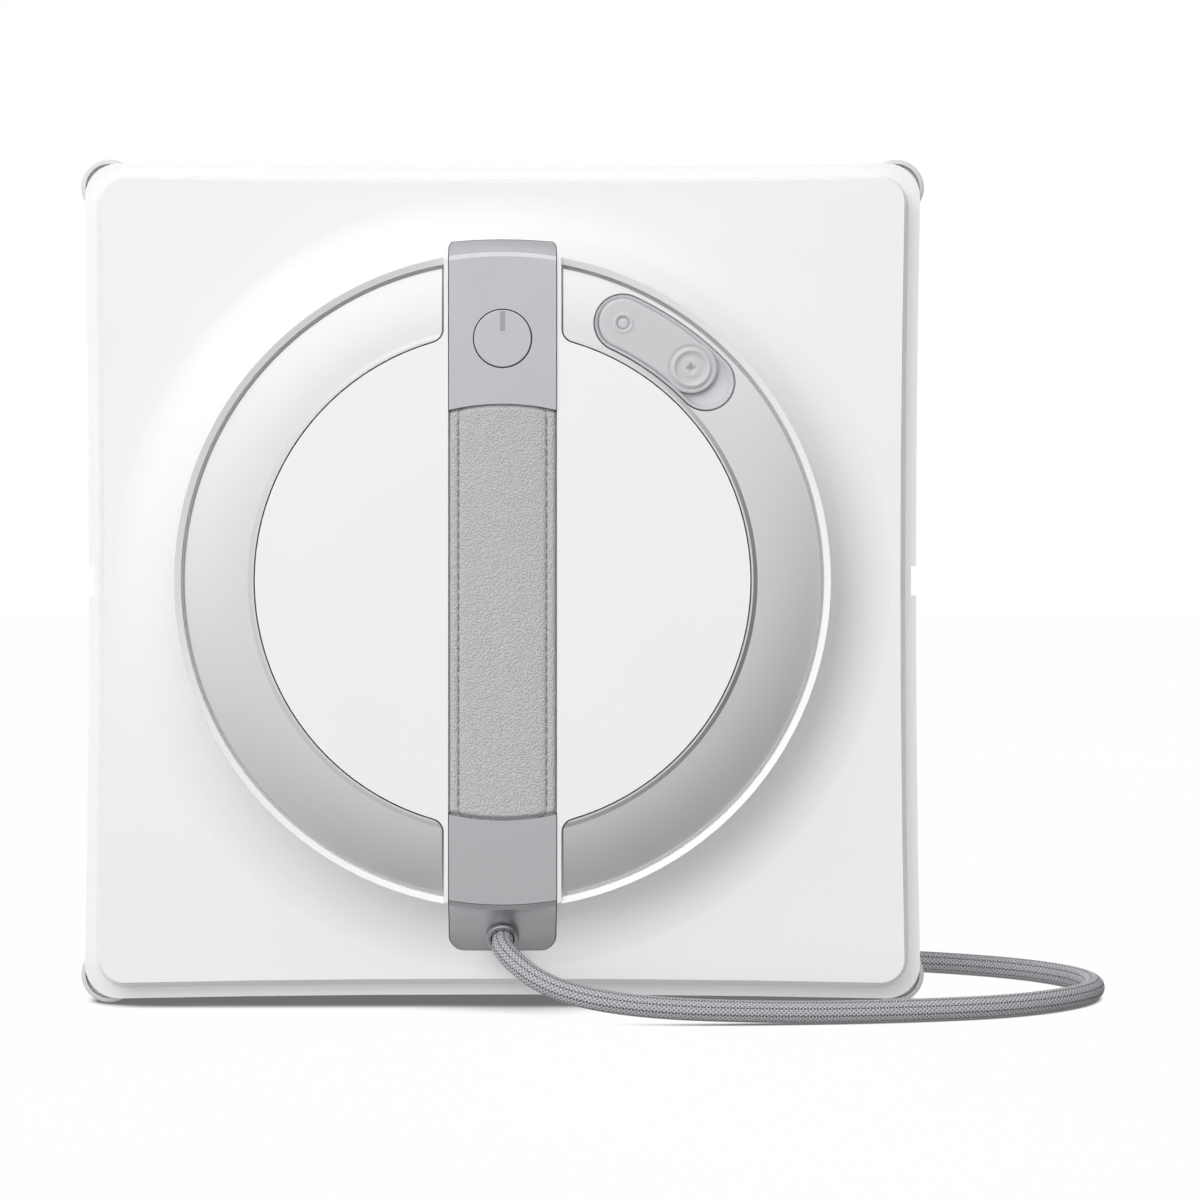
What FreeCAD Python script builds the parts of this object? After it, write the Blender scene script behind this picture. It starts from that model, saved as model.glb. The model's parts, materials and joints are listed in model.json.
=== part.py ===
"""Square suction window-cleaning robot, standing on its corner rollers.

Millimetres.  +X right, +Y towards the glass side, +Z up.  Every piece is
drawn about the robot's centre and moved up by half the height on export,
so that the floor is z = 0.
"""
import FreeCAD
import Part
import math
import os

V = FreeCAD.Vector

# ---------------------------------------------------------------- overall
SIZE = 240.0             # width and height over the corner rollers
DEPTH = 60.0             # strap front to glass-side face
HALF = SIZE / 2
FRONT = -DEPTH / 2
BACK = DEPTH / 2

# ---------------------------------------------------------------- front cover
PANEL_HALF = HALF - 7.2          # flat square panel, at its corners
PANEL_BOW = 1.15                 # how far each side bows in at its middle
FOOT_HALF = HALF - 4.9           # foot of the drafted side wall
FOOT_BOW = 1.0
FLANGE_HALF = HALF - 1.7         # flange round the body
FLANGE_BOW = 1.15
NOTCH_X = FLANGE_HALF - 2.6      # bottom of the notch at each nozzle
PANEL_Y = FRONT + 13.0
FLANGE_Y = FRONT + 20.0
DISC_Y = FRONT + 1.0
DISC_R = 68.4                    # raised flat disc
RING_IN = DISC_R + 0.4           # silver ring trim
RING_STEP = DISC_R + 2.1
RING_OUT = 88.4
RING_CORNER = 3.4                # inner corners of each half of the trim
RIM_IN = RING_OUT + 0.6          # white rim round the ring
CREST_R = RING_OUT + 2.3
CREST_Y = DISC_Y + 0.4
COVE_R = CREST_R + 18.3          # where the cove meets the panel
RECESS_Y = DISC_Y + 4.2
SKIN = 2.4
COVE_RUN = COVE_R - CREST_R
COVE_DROP = PANEL_Y - CREST_Y
COVE_ARC = (COVE_RUN ** 2 + COVE_DROP ** 2) / (2 * COVE_DROP)
COVE_Y = PANEL_Y - COVE_ARC

# ---------------------------------------------------------------- handle strip
STRIP = 14.8                     # half width of strap and caps
STRIP_TOP = CREST_R + 4.1
STRIP_END = CREST_R + 12.7       # lower end, below the centre
CAP_Y = DISC_Y - 0.5
CAP_EDGE_UP = 48.8               # middle of the arched edge of the upper cap
CAP_EDGE_LOW = -66.2
ARCH_R = 65.3
ARCH_RISE = ARCH_R - math.sqrt(ARCH_R ** 2 - STRIP ** 2)
CROWN_R = 163.0                  # the upper cap's top edge
STRAP_THICK = 2.9
STRAP_LIFT = 15.0
CHANNEL = STRIP + 0.25
GRIP_FLOOR = FRONT + 3.3
CAP_FLOOR = FRONT + 5.6
DEEP_FLOOR = FRONT + 9.6
BUTTON_Z = CREST_R - 23.9
BUTTON_R = 7.95
BUTTON_TRAVEL = 1.0

# ---------------------------------------------------------------- filler
FILL_R = 0.5 * (RING_STEP + RING_OUT) - 0.75
FILL_POST = 64.9                 # angles round the disc, degrees
FILL_HINGE = 60.5
FILL_PLUG = 48.4
FILL_END = 44.4
POCKET = 0.5 * (RING_OUT - RING_STEP) - 0.65     # half width of the pocket
TRAY_T = 1.0                     # how far the tray's wall slopes in
FLAP_HALF = POCKET - 1.5
FLAP_HEAD = POCKET - 0.25 - TRAY_T
FLAP_TOP = DISC_Y + 1.8
FLAP_LOW = FLAP_TOP + 1.4
PLUG_DEEP = 3.0                  # silicone plug under the flap
SEAT_TOP = DISC_Y + 3.5
NECK_BORE = 4.4
TANK_IN = 60.0
TANK_T = 1.5
TANK_LOW = 24.0                   # angle of the tank's lower end
TANK_HIGH = math.degrees(math.acos((STRIP + 4.73) / TANK_IN))  # clear of the handle's channel

# ---------------------------------------------------------------- drive
TRACK_X = 59.0
TRACK_Z = 52.0
WHEEL_R = 7.7
BELT_IN = WHEEL_R + 0.3
BELT_T = 1.6
BELT_OUT = BELT_IN + BELT_T
TREAD_T = 1.4
TREAD_R = BELT_OUT + TREAD_T
WHEEL_Y = BACK - TREAD_R
BELT_W = 13.0
WHEEL_W = BELT_W + 0.6
MOTOR_R = 8.6

# ---------------------------------------------------------------- glass side
PLATE_Y = BACK - 14.0            # base plate
PLATE_T = 3.0
DISH_HALF = 81.0                 # outside of the suction dish
CEILING_T = 3.0
CEILING_Y = BACK - 2 * TREAD_R - 2.0 - CEILING_T  # front of the dish's ceiling
INLET_R = 16.0
PAD_Y = BACK - 8.0
PAD_BACK = BACK
WALL_HALF = HALF - 8.5
WALL_T = 2.4
WALL_CORNER = 30.0

# ---------------------------------------------------------------- rollers
ROLLER_R = 8.0
ROLLER_RIM = 1.3                 # rim round the dished end
ROLLER_DISH = 2.0
HUB_R = 3.2
ROLLER_AT = HALF - ROLLER_R
PIN_R = 1.5
RUN = 0.06                       # radial running clearance

# ---------------------------------------------------------------- fan
VOLUTE_R = 38.0
IMPELLER_R = 32.0
SHAFT_R = 2.0
FAN_FRONT = FRONT + 6.6
MOTOR_THICK = 9.4
FAN_SPLIT = FAN_FRONT + MOTOR_THICK
DUCT_TALL = 7.4
DUCT_BACK = CEILING_Y - 1.6      # the outlet duct passes in front of the dish
DUCT_FRONT = DUCT_BACK - DUCT_TALL

BATTERY_HALF = 81.5
BATTERY_TALL = 23.0
BOARD_LOW = 10.0
BOARD_TALL = 69.0

# ---------------------------------------------------------------- cord
CORD_R = 3.0
CORD_TILT = 30.0                 # the eyelet points this far below level
EYELET_Z = -(CREST_R + 8.3)
EYELET_Y = COVE_Y + math.sqrt((COVE_ARC - 0.35) ** 2 - (COVE_R + EYELET_Z) ** 2)
EYELET_OUT = 4.6
EYELET_IN = 3.4
CLAMP_R = 5.0                    # clamp behind the eyelet
CLAMP_LONG = 5.0
BOSS_BACK = -7.0                 # back end of the eyelet's boss, along its axis
COIL_R = 32.0                    # middle radius of the coil
COIL_WIDE = 13.0
COIL_TALL = 17.4
COIL_OUTER_TURN = 35.0           # radius of the coil's outer turns
COIL_X = 50.0
COIL_Y = BACK + 70.0

PARTS = []


def polar(radius, degrees):
    a = math.radians(degrees)
    return radius * math.cos(a), radius * math.sin(a)


def box(x0, x1, y0, y1, z0, z1):
    return Part.makeBox(x1 - x0, y1 - y0, z1 - z0, V(x0, y0, z0))


def rod(radius, y0, y1, x=0.0, z=0.0):
    """A cylinder along Y."""
    return Part.makeCylinder(radius, y1 - y0, V(x, y0, z), V(0, 1, 0))


def rod_x(radius, x0, x1, y=0.0, z=0.0):
    return Part.makeCylinder(radius, x1 - x0, V(x0, y, z), V(1, 0, 0))


def rod_z(radius, z0, z1, x=0.0, y=0.0):
    return Part.makeCylinder(radius, z1 - z0, V(x, y, z0), V(0, 0, 1))


def fused(shapes):
    return shapes[0].multiFuse(shapes[1:]).removeSplitter()


def rounded_wire(half_x, half_z, corner, y, cx=0.0, cz=0.0, hollow=0.0):
    """Rounded rectangle across Y; hollow is the inward bow of each side."""
    c = corner
    k = c * (1 - math.sqrt(0.5))
    hx, hz = half_x, half_z
    spots = [
        ((hx, -hz + c), (hx - hollow, 0), (hx, hz - c), (hx - k, hz - k)),
        ((hx - c, hz), (0, hz - hollow), (-hx + c, hz), (-hx + k, hz - k)),
        ((-hx, hz - c), (-hx + hollow, 0), (-hx, -hz + c), (-hx + k, -hz + k)),
        ((-hx + c, -hz), (0, -hz + hollow), (hx - c, -hz), (hx - k, -hz + k)),
    ]
    edges = []
    for i, (start, middle, end, turn) in enumerate(spots):
        following = spots[(i + 1) % 4][0]
        a, m, b, t, n = [V(cx + p[0], y, cz + p[1]) for p in (start, middle, end, turn, following)]
        if hollow:
            edges.append(Part.Arc(a, m, b).toShape())
        else:
            edges.append(Part.LineSegment(a, b).toShape())
        edges.append(Part.Arc(b, t, n).toShape())
    return Part.Wire(edges)


def slab(half_x, half_z, corner, y0, y1, cx=0.0, cz=0.0, hollow=0.0):
    wire = rounded_wire(half_x, half_z, corner, y0, cx, cz, hollow)
    return Part.Face(wire).extrude(V(0, y1 - y0, 0))


def frame(outer, corner, inner, inner_corner, y0, y1):
    """A square ring."""
    hole = slab(inner, inner, inner_corner, y0 - 1, y1 + 1)
    return slab(outer, outer, corner, y0, y1).cut(hole)


def spun(steps):
    """Revolve a closed (radius, y) outline about Y; three-value steps are arcs (middle, end)."""
    edges = []
    here = steps[0]
    for step in steps[1:] + [steps[0]]:
        if len(step) == 4:
            middle, end = step[:2], step[2:]
            edges.append(Part.Arc(V(here[0], here[1], 0), V(middle[0], middle[1], 0), V(end[0], end[1], 0)).toShape())
            here = end
        else:
            edges.append(Part.LineSegment(V(here[0], here[1], 0), V(step[0], step[1], 0)).toShape())
            here = step
    return Part.Face(Part.Wire(edges)).revolve(V(0, 0, 0), V(0, 1, 0), 360)


def cove_y(radius, lift=0.0):
    """Height of the cove's surface at a radius; lift raises it towards the front."""
    return COVE_Y + math.sqrt((COVE_ARC - lift) ** 2 - (COVE_R - radius) ** 2)


def arc_pill(radius, low, high, half, y0, y1, low_half=None, high_half=None):
    """A curved slot shape round the disc's centre; an end half width of 0 is cut square."""
    low_half = half if low_half is None else low_half
    high_half = half if high_half is None else high_half
    mid = (low + high) / 2
    outer, inner = radius + half, radius - half
    a, b, c = [V(x, y0, z) for x, z in (polar(outer, low), polar(outer, mid), polar(outer, high))]
    d, e, f = [V(x, y0, z) for x, z in (polar(inner, high), polar(inner, mid), polar(inner, low))]
    wire = Part.Wire([
        Part.Arc(a, b, c).toShape(),
        Part.LineSegment(c, d).toShape(),
        Part.Arc(d, e, f).toShape(),
        Part.LineSegment(f, a).toShape(),
    ])
    pieces = [Part.Face(wire).extrude(V(0, y1 - y0, 0))]
    for angle, end_half in ((low, low_half), (high, high_half)):
        if end_half:
            x, z = polar(radius, angle)
            pieces.append(rod(end_half, y0, y1, x, z))
    return pieces[0] if len(pieces) == 1 else fused(pieces)


def corner_points(points):
    """Straight runs and tangent arcs; each arc's radius is 0.45 x its shorter run / tan(half turn)."""
    vectors = [V(*p) for p in points]
    edges = []
    radii = []
    here = vectors[0]
    for i in range(1, len(vectors) - 1):
        corner = vectors[i]
        before = corner - vectors[i - 1]
        after = vectors[i + 1] - corner
        reach = 0.45 * min(before.Length, after.Length)
        turn = before.getAngle(after)
        radii.append(reach / math.tan(turn / 2))
        back = V(before).normalize()
        ahead = V(after).normalize()
        start = corner - back * reach
        end = corner + ahead * reach
        inward = (ahead - back).normalize()
        depth = radii[-1] * (1 / math.cos(turn / 2) - 1)
        edges.append(Part.LineSegment(here, start).toShape())
        edges.append(Part.Arc(start, corner + inward * depth, end).toShape())
        here = end
    edges.append(Part.LineSegment(here, vectors[-1]).toShape())
    return Part.Wire(edges), radii


def tube(points, radius, name=None):
    wire, radii = corner_points(points)
    along = V(*points[1]) - V(*points[0])
    section = Part.Wire([Part.Circle(V(*points[0]), along, radius).toShape()])
    solid = wire.makePipeShell([section], True, False)
    if name:
        true_volume = math.pi * radius ** 2 * wire.Length
        print(name, "length %.1f" % wire.Length, "radii", ["%.1f" % r for r in radii],
              "volume ratio %.4f" % (solid.Volume / true_volume))
    return solid


def save(name, shape):
    PARTS.append((name, shape))


def mirrored(shape):
    return shape.mirror(V(0, 0, 0), V(1, 0, 0))


# ================================================================ front cover
def cover_envelope(grow=0.0):
    """The cover's outer form, without the ring recess or the handle channel."""
    foot = rounded_wire(FOOT_HALF, FOOT_HALF, 9.0, FLANGE_Y, hollow=FOOT_BOW)
    top = rounded_wire(PANEL_HALF, PANEL_HALF, 6.6, PANEL_Y, hollow=PANEL_BOW)
    panel = Part.makeLoft([foot, top], True, True)
    mid = 0.5 * (CREST_R + COVE_R)
    dome = spun([
        (0, PANEL_Y + 1), (0, DISC_Y), (CREST_R - 0.5, DISC_Y), (CREST_R, CREST_Y),
        (mid, cove_y(mid), COVE_R, PANEL_Y), (COVE_R, PANEL_Y + 1),
    ])
    return panel.fuse(dome)


def cover_cavity():
    foot = rounded_wire(FOOT_HALF - SKIN, FOOT_HALF - SKIN, 7.0, FLANGE_Y + 0.01, hollow=FOOT_BOW)
    top = rounded_wire(PANEL_HALF - SKIN, PANEL_HALF - SKIN, 4.6, PANEL_Y + SKIN, hollow=PANEL_BOW)
    square = Part.makeLoft([foot, top], True, True)
    under_ring = RECESS_Y + 2.5
    reach = COVE_R - math.sqrt((COVE_ARC + SKIN) ** 2 - (under_ring - COVE_Y) ** 2)
    mid = 0.5 * (reach + COVE_R)
    mid_y = COVE_Y + math.sqrt((COVE_ARC + SKIN) ** 2 - (COVE_R - mid) ** 2)
    dome = spun([
        (0, PANEL_Y + SKIN + 1), (0, DISC_Y + SKIN), (DISC_R - 2.4, DISC_Y + SKIN),
        (DISC_R - 2.4, under_ring), (reach, under_ring),
        (mid, mid_y, COVE_R, PANEL_Y + SKIN), (COVE_R, PANEL_Y + SKIN + 1),
    ])
    return square.fuse(dome)


def ring_corner(radius, side_x, soft, y0, y1):
    """What lies outside the rounded corner between a straight side and a circle."""
    pieces = []
    tangent_x = radius * (side_x + soft) / (radius + soft)
    centre_z = math.sqrt((radius + soft) ** 2 - (side_x + soft) ** 2)
    low_z = math.sqrt(radius ** 2 - tangent_x ** 2) - 3.0
    for sx in (1, -1):
        for sz in (1, -1):
            x0, x1 = sorted((sx * (side_x - 1.0), sx * tangent_x))
            z0, z1 = sorted((sz * low_z, sz * centre_z))
            keep = rod(soft, y0 - 1, y1 + 1, sx * (side_x + soft), sz * centre_z)
            pieces.append(box(x0, x1, y0, y1, z0, z1).cut(keep))
    return pieces


def ring_recess():
    groove = spun([
        (DISC_R, DISC_Y - 2), (DISC_R, RECESS_Y), (RIM_IN, RECESS_Y), (RIM_IN, CREST_Y + 0.9),
        (CREST_R + 0.05, CREST_Y - 0.05), (CREST_R + 0.05, DISC_Y - 2),
    ])
    rails = box(-STRIP - 1.4, STRIP + 1.4, DISC_Y - 3, RECESS_Y + 1, -HALF, HALF)
    corners_kept = ring_corner(DISC_R, STRIP + 1.4, RING_CORNER + 0.5, DISC_Y - 3, RECESS_Y + 1)
    return groove.cut(rails).cut(fused(corners_kept))


def crown(gap=0.0):
    """Everything below the upper cap's curved top edge."""
    return rod(CROWN_R + gap, FRONT - 2, BACK, 0, STRIP_TOP - CROWN_R)


def make_cover():
    backing = [
        box(-STRIP - 2.6, STRIP + 2.6, DISC_Y + 1, GRIP_FLOOR + 2.2, -CREST_R, STRIP_TOP - 10),
        box(-STRIP - 2.6, STRIP + 2.6, DISC_Y + 1, CAP_FLOOR + 2.0, -CREST_R - 1, CAP_EDGE_LOW + 4),
        box(-STRIP - 2.6, STRIP + 2.6, DISC_Y + 1, CAP_FLOOR + 2.0, CAP_EDGE_UP - 4, STRIP_TOP - 8),
        box(-STRIP - 2.6, STRIP + 2.6, DEEP_FLOOR - 6, DEEP_FLOOR + 2.0, BUTTON_Z - 11.6, STRIP_TOP + 2.4),
    ]
    cavity = cover_cavity().cut(fused(backing))
    shell = cover_envelope().cut(cavity)
    lift = box(-HALF, HALF, DISC_Y - 9, DISC_Y - 0.001, -HALF, HALF)
    exit_half = 0.5 * (STRIP_END - CREST_R + 2.2)
    channels = [
        box(-CHANNEL, CHANNEL, DISC_Y - 3, GRIP_FLOOR, CAP_EDGE_LOW - 4, CAP_EDGE_UP + 4),
        box(-CHANNEL, CHANNEL, DISC_Y - 3, CAP_FLOOR, CAP_EDGE_UP - ARCH_RISE - 0.4, BUTTON_Z),
        box(-CHANNEL, CHANNEL, DISC_Y - 3, CAP_FLOOR, -CREST_R, CAP_EDGE_LOW + ARCH_RISE + 0.4),
        slab(CHANNEL, 0.5 * (STRIP_TOP + 0.25 - BUTTON_Z + 9.4), 2.7, DISC_Y - 3, DEEP_FLOOR,
             0, 0.5 * (STRIP_TOP + 0.25 + BUTTON_Z - 9.4)).common(crown(0.25)),
        slab(CHANNEL, exit_half, 4.4, DISC_Y - 3, FLANGE_Y, 0, -STRIP_END - 0.2 + exit_half),
        box(-CHANNEL, CHANNEL, DISC_Y - 3, DEEP_FLOOR, BUTTON_Z - 9.4, BUTTON_Z),
        box(-CHANNEL, CHANNEL, DISC_Y - 3, FLANGE_Y, -CREST_R - 3, -CREST_R + 0.4),
    ]
    plug_x, plug_z = polar(FILL_R, FILL_PLUG)
    neck = rod(6.1, RECESS_Y - 1, RECESS_Y + 5, plug_x, plug_z)
    return shell.cut(lift).cut(ring_recess()).cut(fused(channels)).cut(neck).removeSplitter()


def ring_form(sink=0.0):
    """The ring trim's full round; sink lowers its face."""
    mid = 0.5 * (RING_STEP + RING_OUT)
    face = DISC_Y + sink
    return spun([
        (RING_IN, RECESS_Y), (RING_IN, face + 0.1), (RING_IN + 0.5, face + 0.1),
        (RING_STEP, face + 0.9),
        (mid, face + 1.55, RING_OUT - 0.3, face + 2.8),
        (RING_OUT, face + 3.1), (RING_OUT, RECESS_Y),
    ])


def make_ring():
    body = ring_form()
    cut_x = STRIP + 2.0
    side = box(cut_x, HALF, DISC_Y - 2, RECESS_Y + 1, -HALF, HALF)
    half_ring = body.common(side)
    for corner in ring_corner(RING_IN, cut_x, RING_CORNER, DISC_Y - 2, RECESS_Y + 1):
        half_ring = half_ring.cut(corner)
    return half_ring


def strip_surface(depth_y):
    """The caps' outer form: flat over the disc, rolling down the cove beyond the crest."""
    mid = 0.5 * (CREST_R + 0.3 + COVE_R)
    lift = 0.35
    return spun([
        (0, depth_y), (0, CAP_Y), (CREST_R - 1.2, CAP_Y), (CREST_R + 0.1, CAP_Y + 0.5),
        (CREST_R + 0.3, cove_y(CREST_R + 0.3, lift)),
        (mid, cove_y(mid, lift), COVE_R, cove_y(COVE_R, lift)), (COVE_R, depth_y),
    ])


def arch_cutter(edge_z, sign, y0, y1, gap=0.0):
    """Everything on the strap's side of an arched cap edge; sign is +1 for the upper cap."""
    return rod(ARCH_R + gap, y0, y1, 0, edge_z - sign * ARCH_R)


def make_caps():
    surface = strip_surface(DEEP_FLOOR)
    z0 = CAP_EDGE_UP - 4
    plan = slab(STRIP, 0.5 * (STRIP_TOP - z0), 2.5, FRONT - 1, DEEP_FLOOR, 0, 0.5 * (STRIP_TOP + z0))
    upper = plan.common(surface).common(crown())
    upper = upper.cut(arch_cutter(CAP_EDGE_UP, 1, FRONT - 2, BACK))
    upper = upper.cut(box(-STRIP - 1, STRIP + 1, CAP_FLOOR, DEEP_FLOOR + 1, z0 - 1, BUTTON_Z - 9.3))
    upper = upper.cut(box(-STRIP + 2, STRIP - 2, CAP_Y + 1.8, DEEP_FLOOR + 1, z0 - 1, CREST_R - 3))
    upper = upper.cut(rod(BUTTON_R + 0.25, FRONT - 2, DEEP_FLOOR + 1, 0, BUTTON_Z))

    z1 = CAP_EDGE_LOW + 4
    plan = box(-STRIP, STRIP, FRONT - 1, CAP_FLOOR, -CREST_R, z1)
    lower = plan.common(rod(CREST_R - 1.3, CAP_Y, CAP_FLOOR))
    lower = lower.cut(arch_cutter(CAP_EDGE_LOW, -1, FRONT - 2, BACK))
    lower = lower.cut(box(-STRIP + 2, STRIP - 2, CAP_Y + 1.8, CAP_FLOOR + 1, -CREST_R + 8, z1 + 1))
    return upper, lower


def cord_axis(t):
    """A point along the eyelet's axis; positive t is outside the surface."""
    a = math.radians(CORD_TILT)
    return (0.0, EYELET_Y - t * math.cos(a), EYELET_Z - t * math.sin(a))


def cord_rod(radius, t0, t1):
    start, end = V(*cord_axis(t0)), V(*cord_axis(t1))
    return Part.makeCylinder(radius, (end - start).Length, start, end - start)


def make_exit_cover():
    back = FLANGE_Y - 4.0
    surface = strip_surface(back)
    z0 = -CREST_R + 8
    plan = slab(STRIP, 0.5 * (STRIP_END + z0), 4.2, FRONT - 1, back, 0, 0.5 * (-STRIP_END + z0))
    cover = plan.common(surface).cut(rod(CREST_R - 1.15, FRONT - 2, BACK))
    cover = cover.cut(box(-STRIP - 1, STRIP + 1, CAP_FLOOR, BACK, -CREST_R + 0.1, z0))
    hollow = slab(STRIP - 2.4, 3.6, 2.0, EYELET_Y + 3.4, back + 1, 0, EYELET_Z + 1.0)
    cover = cover.cut(hollow)
    cover = cover.fuse(cord_rod(6.4, BOSS_BACK, -1.5)).removeSplitter()
    cover = cover.cut(cord_rod(CLAMP_R + 0.3, BOSS_BACK - CLAMP_LONG - 1.0, BOSS_BACK))
    cover = cover.cut(cord_rod(EYELET_OUT, -4.0, 9)).cut(cord_rod(EYELET_IN, -9, 1))
    return cover


def make_eyelet():
    body = cord_rod(EYELET_OUT, -4.0, 2.2)
    edges = [e for e in body.Edges if len(e.Vertexes) == 1]
    front = min(edges, key=lambda e: e.BoundBox.Center.y)
    body = body.makeFillet(0.55, [front])
    return body.cut(cord_rod(EYELET_IN, -5, 3))


# ================================================================ strap and button
def make_strap():
    y1 = FRONT + STRAP_THICK
    half = STRIP - 0.25
    flat = box(-half, half, FRONT, y1, CAP_EDGE_LOW - 1, CAP_EDGE_UP + 1)
    side = [e for e in flat.Edges if abs(e.BoundBox.YMax - FRONT) < 0.01 and e.BoundBox.ZLength > 20]
    flat = flat.makeFillet(0.9, side)
    gap = 0.3
    upper = arch_cutter(CAP_EDGE_UP - gap, 1, FRONT - 1, y1 + 1)
    lower = arch_cutter(CAP_EDGE_LOW + gap, -1, FRONT - 1, y1 + 1)
    return flat.common(upper).common(lower)


def make_strap_end(edge, sign, length):
    half = STRIP - 2.3
    z0, z1 = sorted((edge - sign * 2, edge + sign * length))
    tab = box(-half, half, CAP_Y + 2.0, CAP_FLOOR, z0, z1)
    return tab.cut(arch_cutter(edge, sign, FRONT - 1, BACK))


def make_button():
    top = CAP_Y - 0.1
    body = rod(BUTTON_R, top, top + 2.2, 0, BUTTON_Z)
    front = [e for e in body.Edges if len(e.Vertexes) == 1 and abs(e.BoundBox.YMax - top) < 0.01]
    body = body.makeFillet(0.3, front)
    body = body.fuse(rod(2.6, top + 2.2, DEEP_FLOOR - 2.6 - BUTTON_TRAVEL, 0, BUTTON_Z))
    bar = slab(0.72, 2.75, 0.2, top - 0.04, top + 0.8, 0, BUTTON_Z + BUTTON_R - 3.15)
    return body.cut(bar).removeSplitter(), bar


# ================================================================ filler
def pill_wire(radius, low, high, half, y):
    """Outline of a curved slot round the disc's centre, with round ends."""
    mid = (low + high) / 2
    outer, inner = radius + half, radius - half
    a, b, c = [V(x, y, z) for x, z in (polar(outer, low), polar(outer, mid), polar(outer, high))]
    d, e, f = [V(x, y, z) for x, z in (polar(inner, high), polar(inner, mid), polar(inner, low))]
    reach = math.degrees(half / radius)
    top = V(polar(radius, high + reach)[0], y, polar(radius, high + reach)[1])
    bottom = V(polar(radius, low - reach)[0], y, polar(radius, low - reach)[1])
    arcs = [Part.Arc(a, b, c), Part.Arc(c, top, d), Part.Arc(d, e, f), Part.Arc(f, bottom, a)]
    return Part.Wire([arc.toShape() for arc in arcs])


def make_filler():
    plug_x, plug_z = polar(FILL_R, FILL_PLUG)
    post_x, post_z = polar(FILL_R, FILL_POST)
    neck_end = RECESS_Y + 3.0
    tray_y = DISC_Y + 0.5
    seat = arc_pill(FILL_R, FILL_END, FILL_POST, POCKET - 0.05, tray_y, RECESS_Y).common(ring_form(0.15))
    mouth = pill_wire(FILL_R, FILL_END, FILL_POST, POCKET - 0.25, tray_y)
    floor = pill_wire(FILL_R, FILL_END, FILL_POST, POCKET - 0.25 - TRAY_T, SEAT_TOP)
    seat = seat.cut(Part.makeLoft([mouth, floor], True, True))
    seat = seat.fuse(rod(6.0, SEAT_TOP, neck_end, plug_x, plug_z))
    seat = seat.cut(rod(NECK_BORE, SEAT_TOP - 1, neck_end + 1, plug_x, plug_z))
    seat = seat.fuse(rod(1.6, FLAP_TOP + 0.3, RECESS_Y, post_x, post_z)).removeSplitter()

    anchor = arc_pill(FILL_R, FILL_HINGE, FILL_POST, FLAP_HALF, FLAP_TOP, SEAT_TOP, low_half=0)
    anchor = anchor.cut(rod(1.8, FLAP_TOP - 1, SEAT_TOP + 1, post_x, post_z))
    below_hinge = box(0, FILL_R + 20, FLAP_TOP - 1, SEAT_TOP + 1, -20, 0)
    below_hinge.rotate(V(0, 0, 0), V(0, 1, 0), -FILL_HINGE)
    anchor = anchor.cut(below_hinge)

    flap = arc_pill(FILL_R, FILL_PLUG, FILL_HINGE - 0.08, FLAP_HALF, FLAP_TOP, FLAP_LOW,
                    low_half=FLAP_HEAD, high_half=0)
    cone = Part.makeCone(NECK_BORE - 0.3, NECK_BORE - 1.8, PLUG_DEEP, V(plug_x, FLAP_LOW, plug_z), V(0, 1, 0))
    flap = flap.fuse(cone)
    groove = rod(6.1, FLAP_TOP - 1, FLAP_TOP + 0.45, plug_x, plug_z)
    groove = groove.cut(rod(5.1, FLAP_TOP - 2, FLAP_TOP + 1, plug_x, plug_z))
    flap = flap.cut(groove).cut(rod(0.5, FLAP_TOP - 1, FLAP_TOP + 0.5, plug_x, plug_z))
    return seat, anchor, flap.removeSplitter()


def sector(r0, r1, low, high, y0, y1):
    return arc_pill(0.5 * (r0 + r1), low, high, 0.5 * (r1 - r0), y0, y1, low_half=0, high_half=0)


def make_tank():
    top = RECESS_Y + 3.0
    low = CEILING_Y - 7.0
    r0, r1 = TANK_IN, RING_OUT - 2.4
    plug_x, plug_z = polar(FILL_R, FILL_PLUG)
    body = sector(r0, r1, TANK_LOW, TANK_HIGH, top, low)
    inside = sector(r0 + TANK_T, r1 - TANK_T, TANK_LOW + 1.4, TANK_HIGH - 1.4, top + TANK_T, low - TANK_T)
    body = body.cut(inside)
    out_x, out_z = polar(r1, 35)
    outlet = Part.makeCylinder(1.2, 4, V(out_x * 0.97, top + 11, out_z * 0.97), V(out_x, 0, out_z))
    return body.cut(rod(NECK_BORE, top - 1, top + 2, plug_x, plug_z)).cut(outlet)


# ================================================================ body
BOSSES = [(HALF - 14.5, 58.0), (HALF - 14.5, -58.0)]
CORNER_BOSS = (HALF - 32.5, HALF - 15.0)
SENSOR_AT = HALF - 24.0
SENSOR_R = 3.0


def boss_spots():
    spots = []
    for sign in (1, -1):
        spots += [(sign * x, z) for x, z in BOSSES]
        spots += [(sign * CORNER_BOSS[0], CORNER_BOSS[1]), (sign * CORNER_BOSS[0], -CORNER_BOSS[1])]
    return spots


def corners(distance):
    return [(sx * distance, sz * distance) for sx in (1, -1) for sz in (1, -1)]


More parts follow.
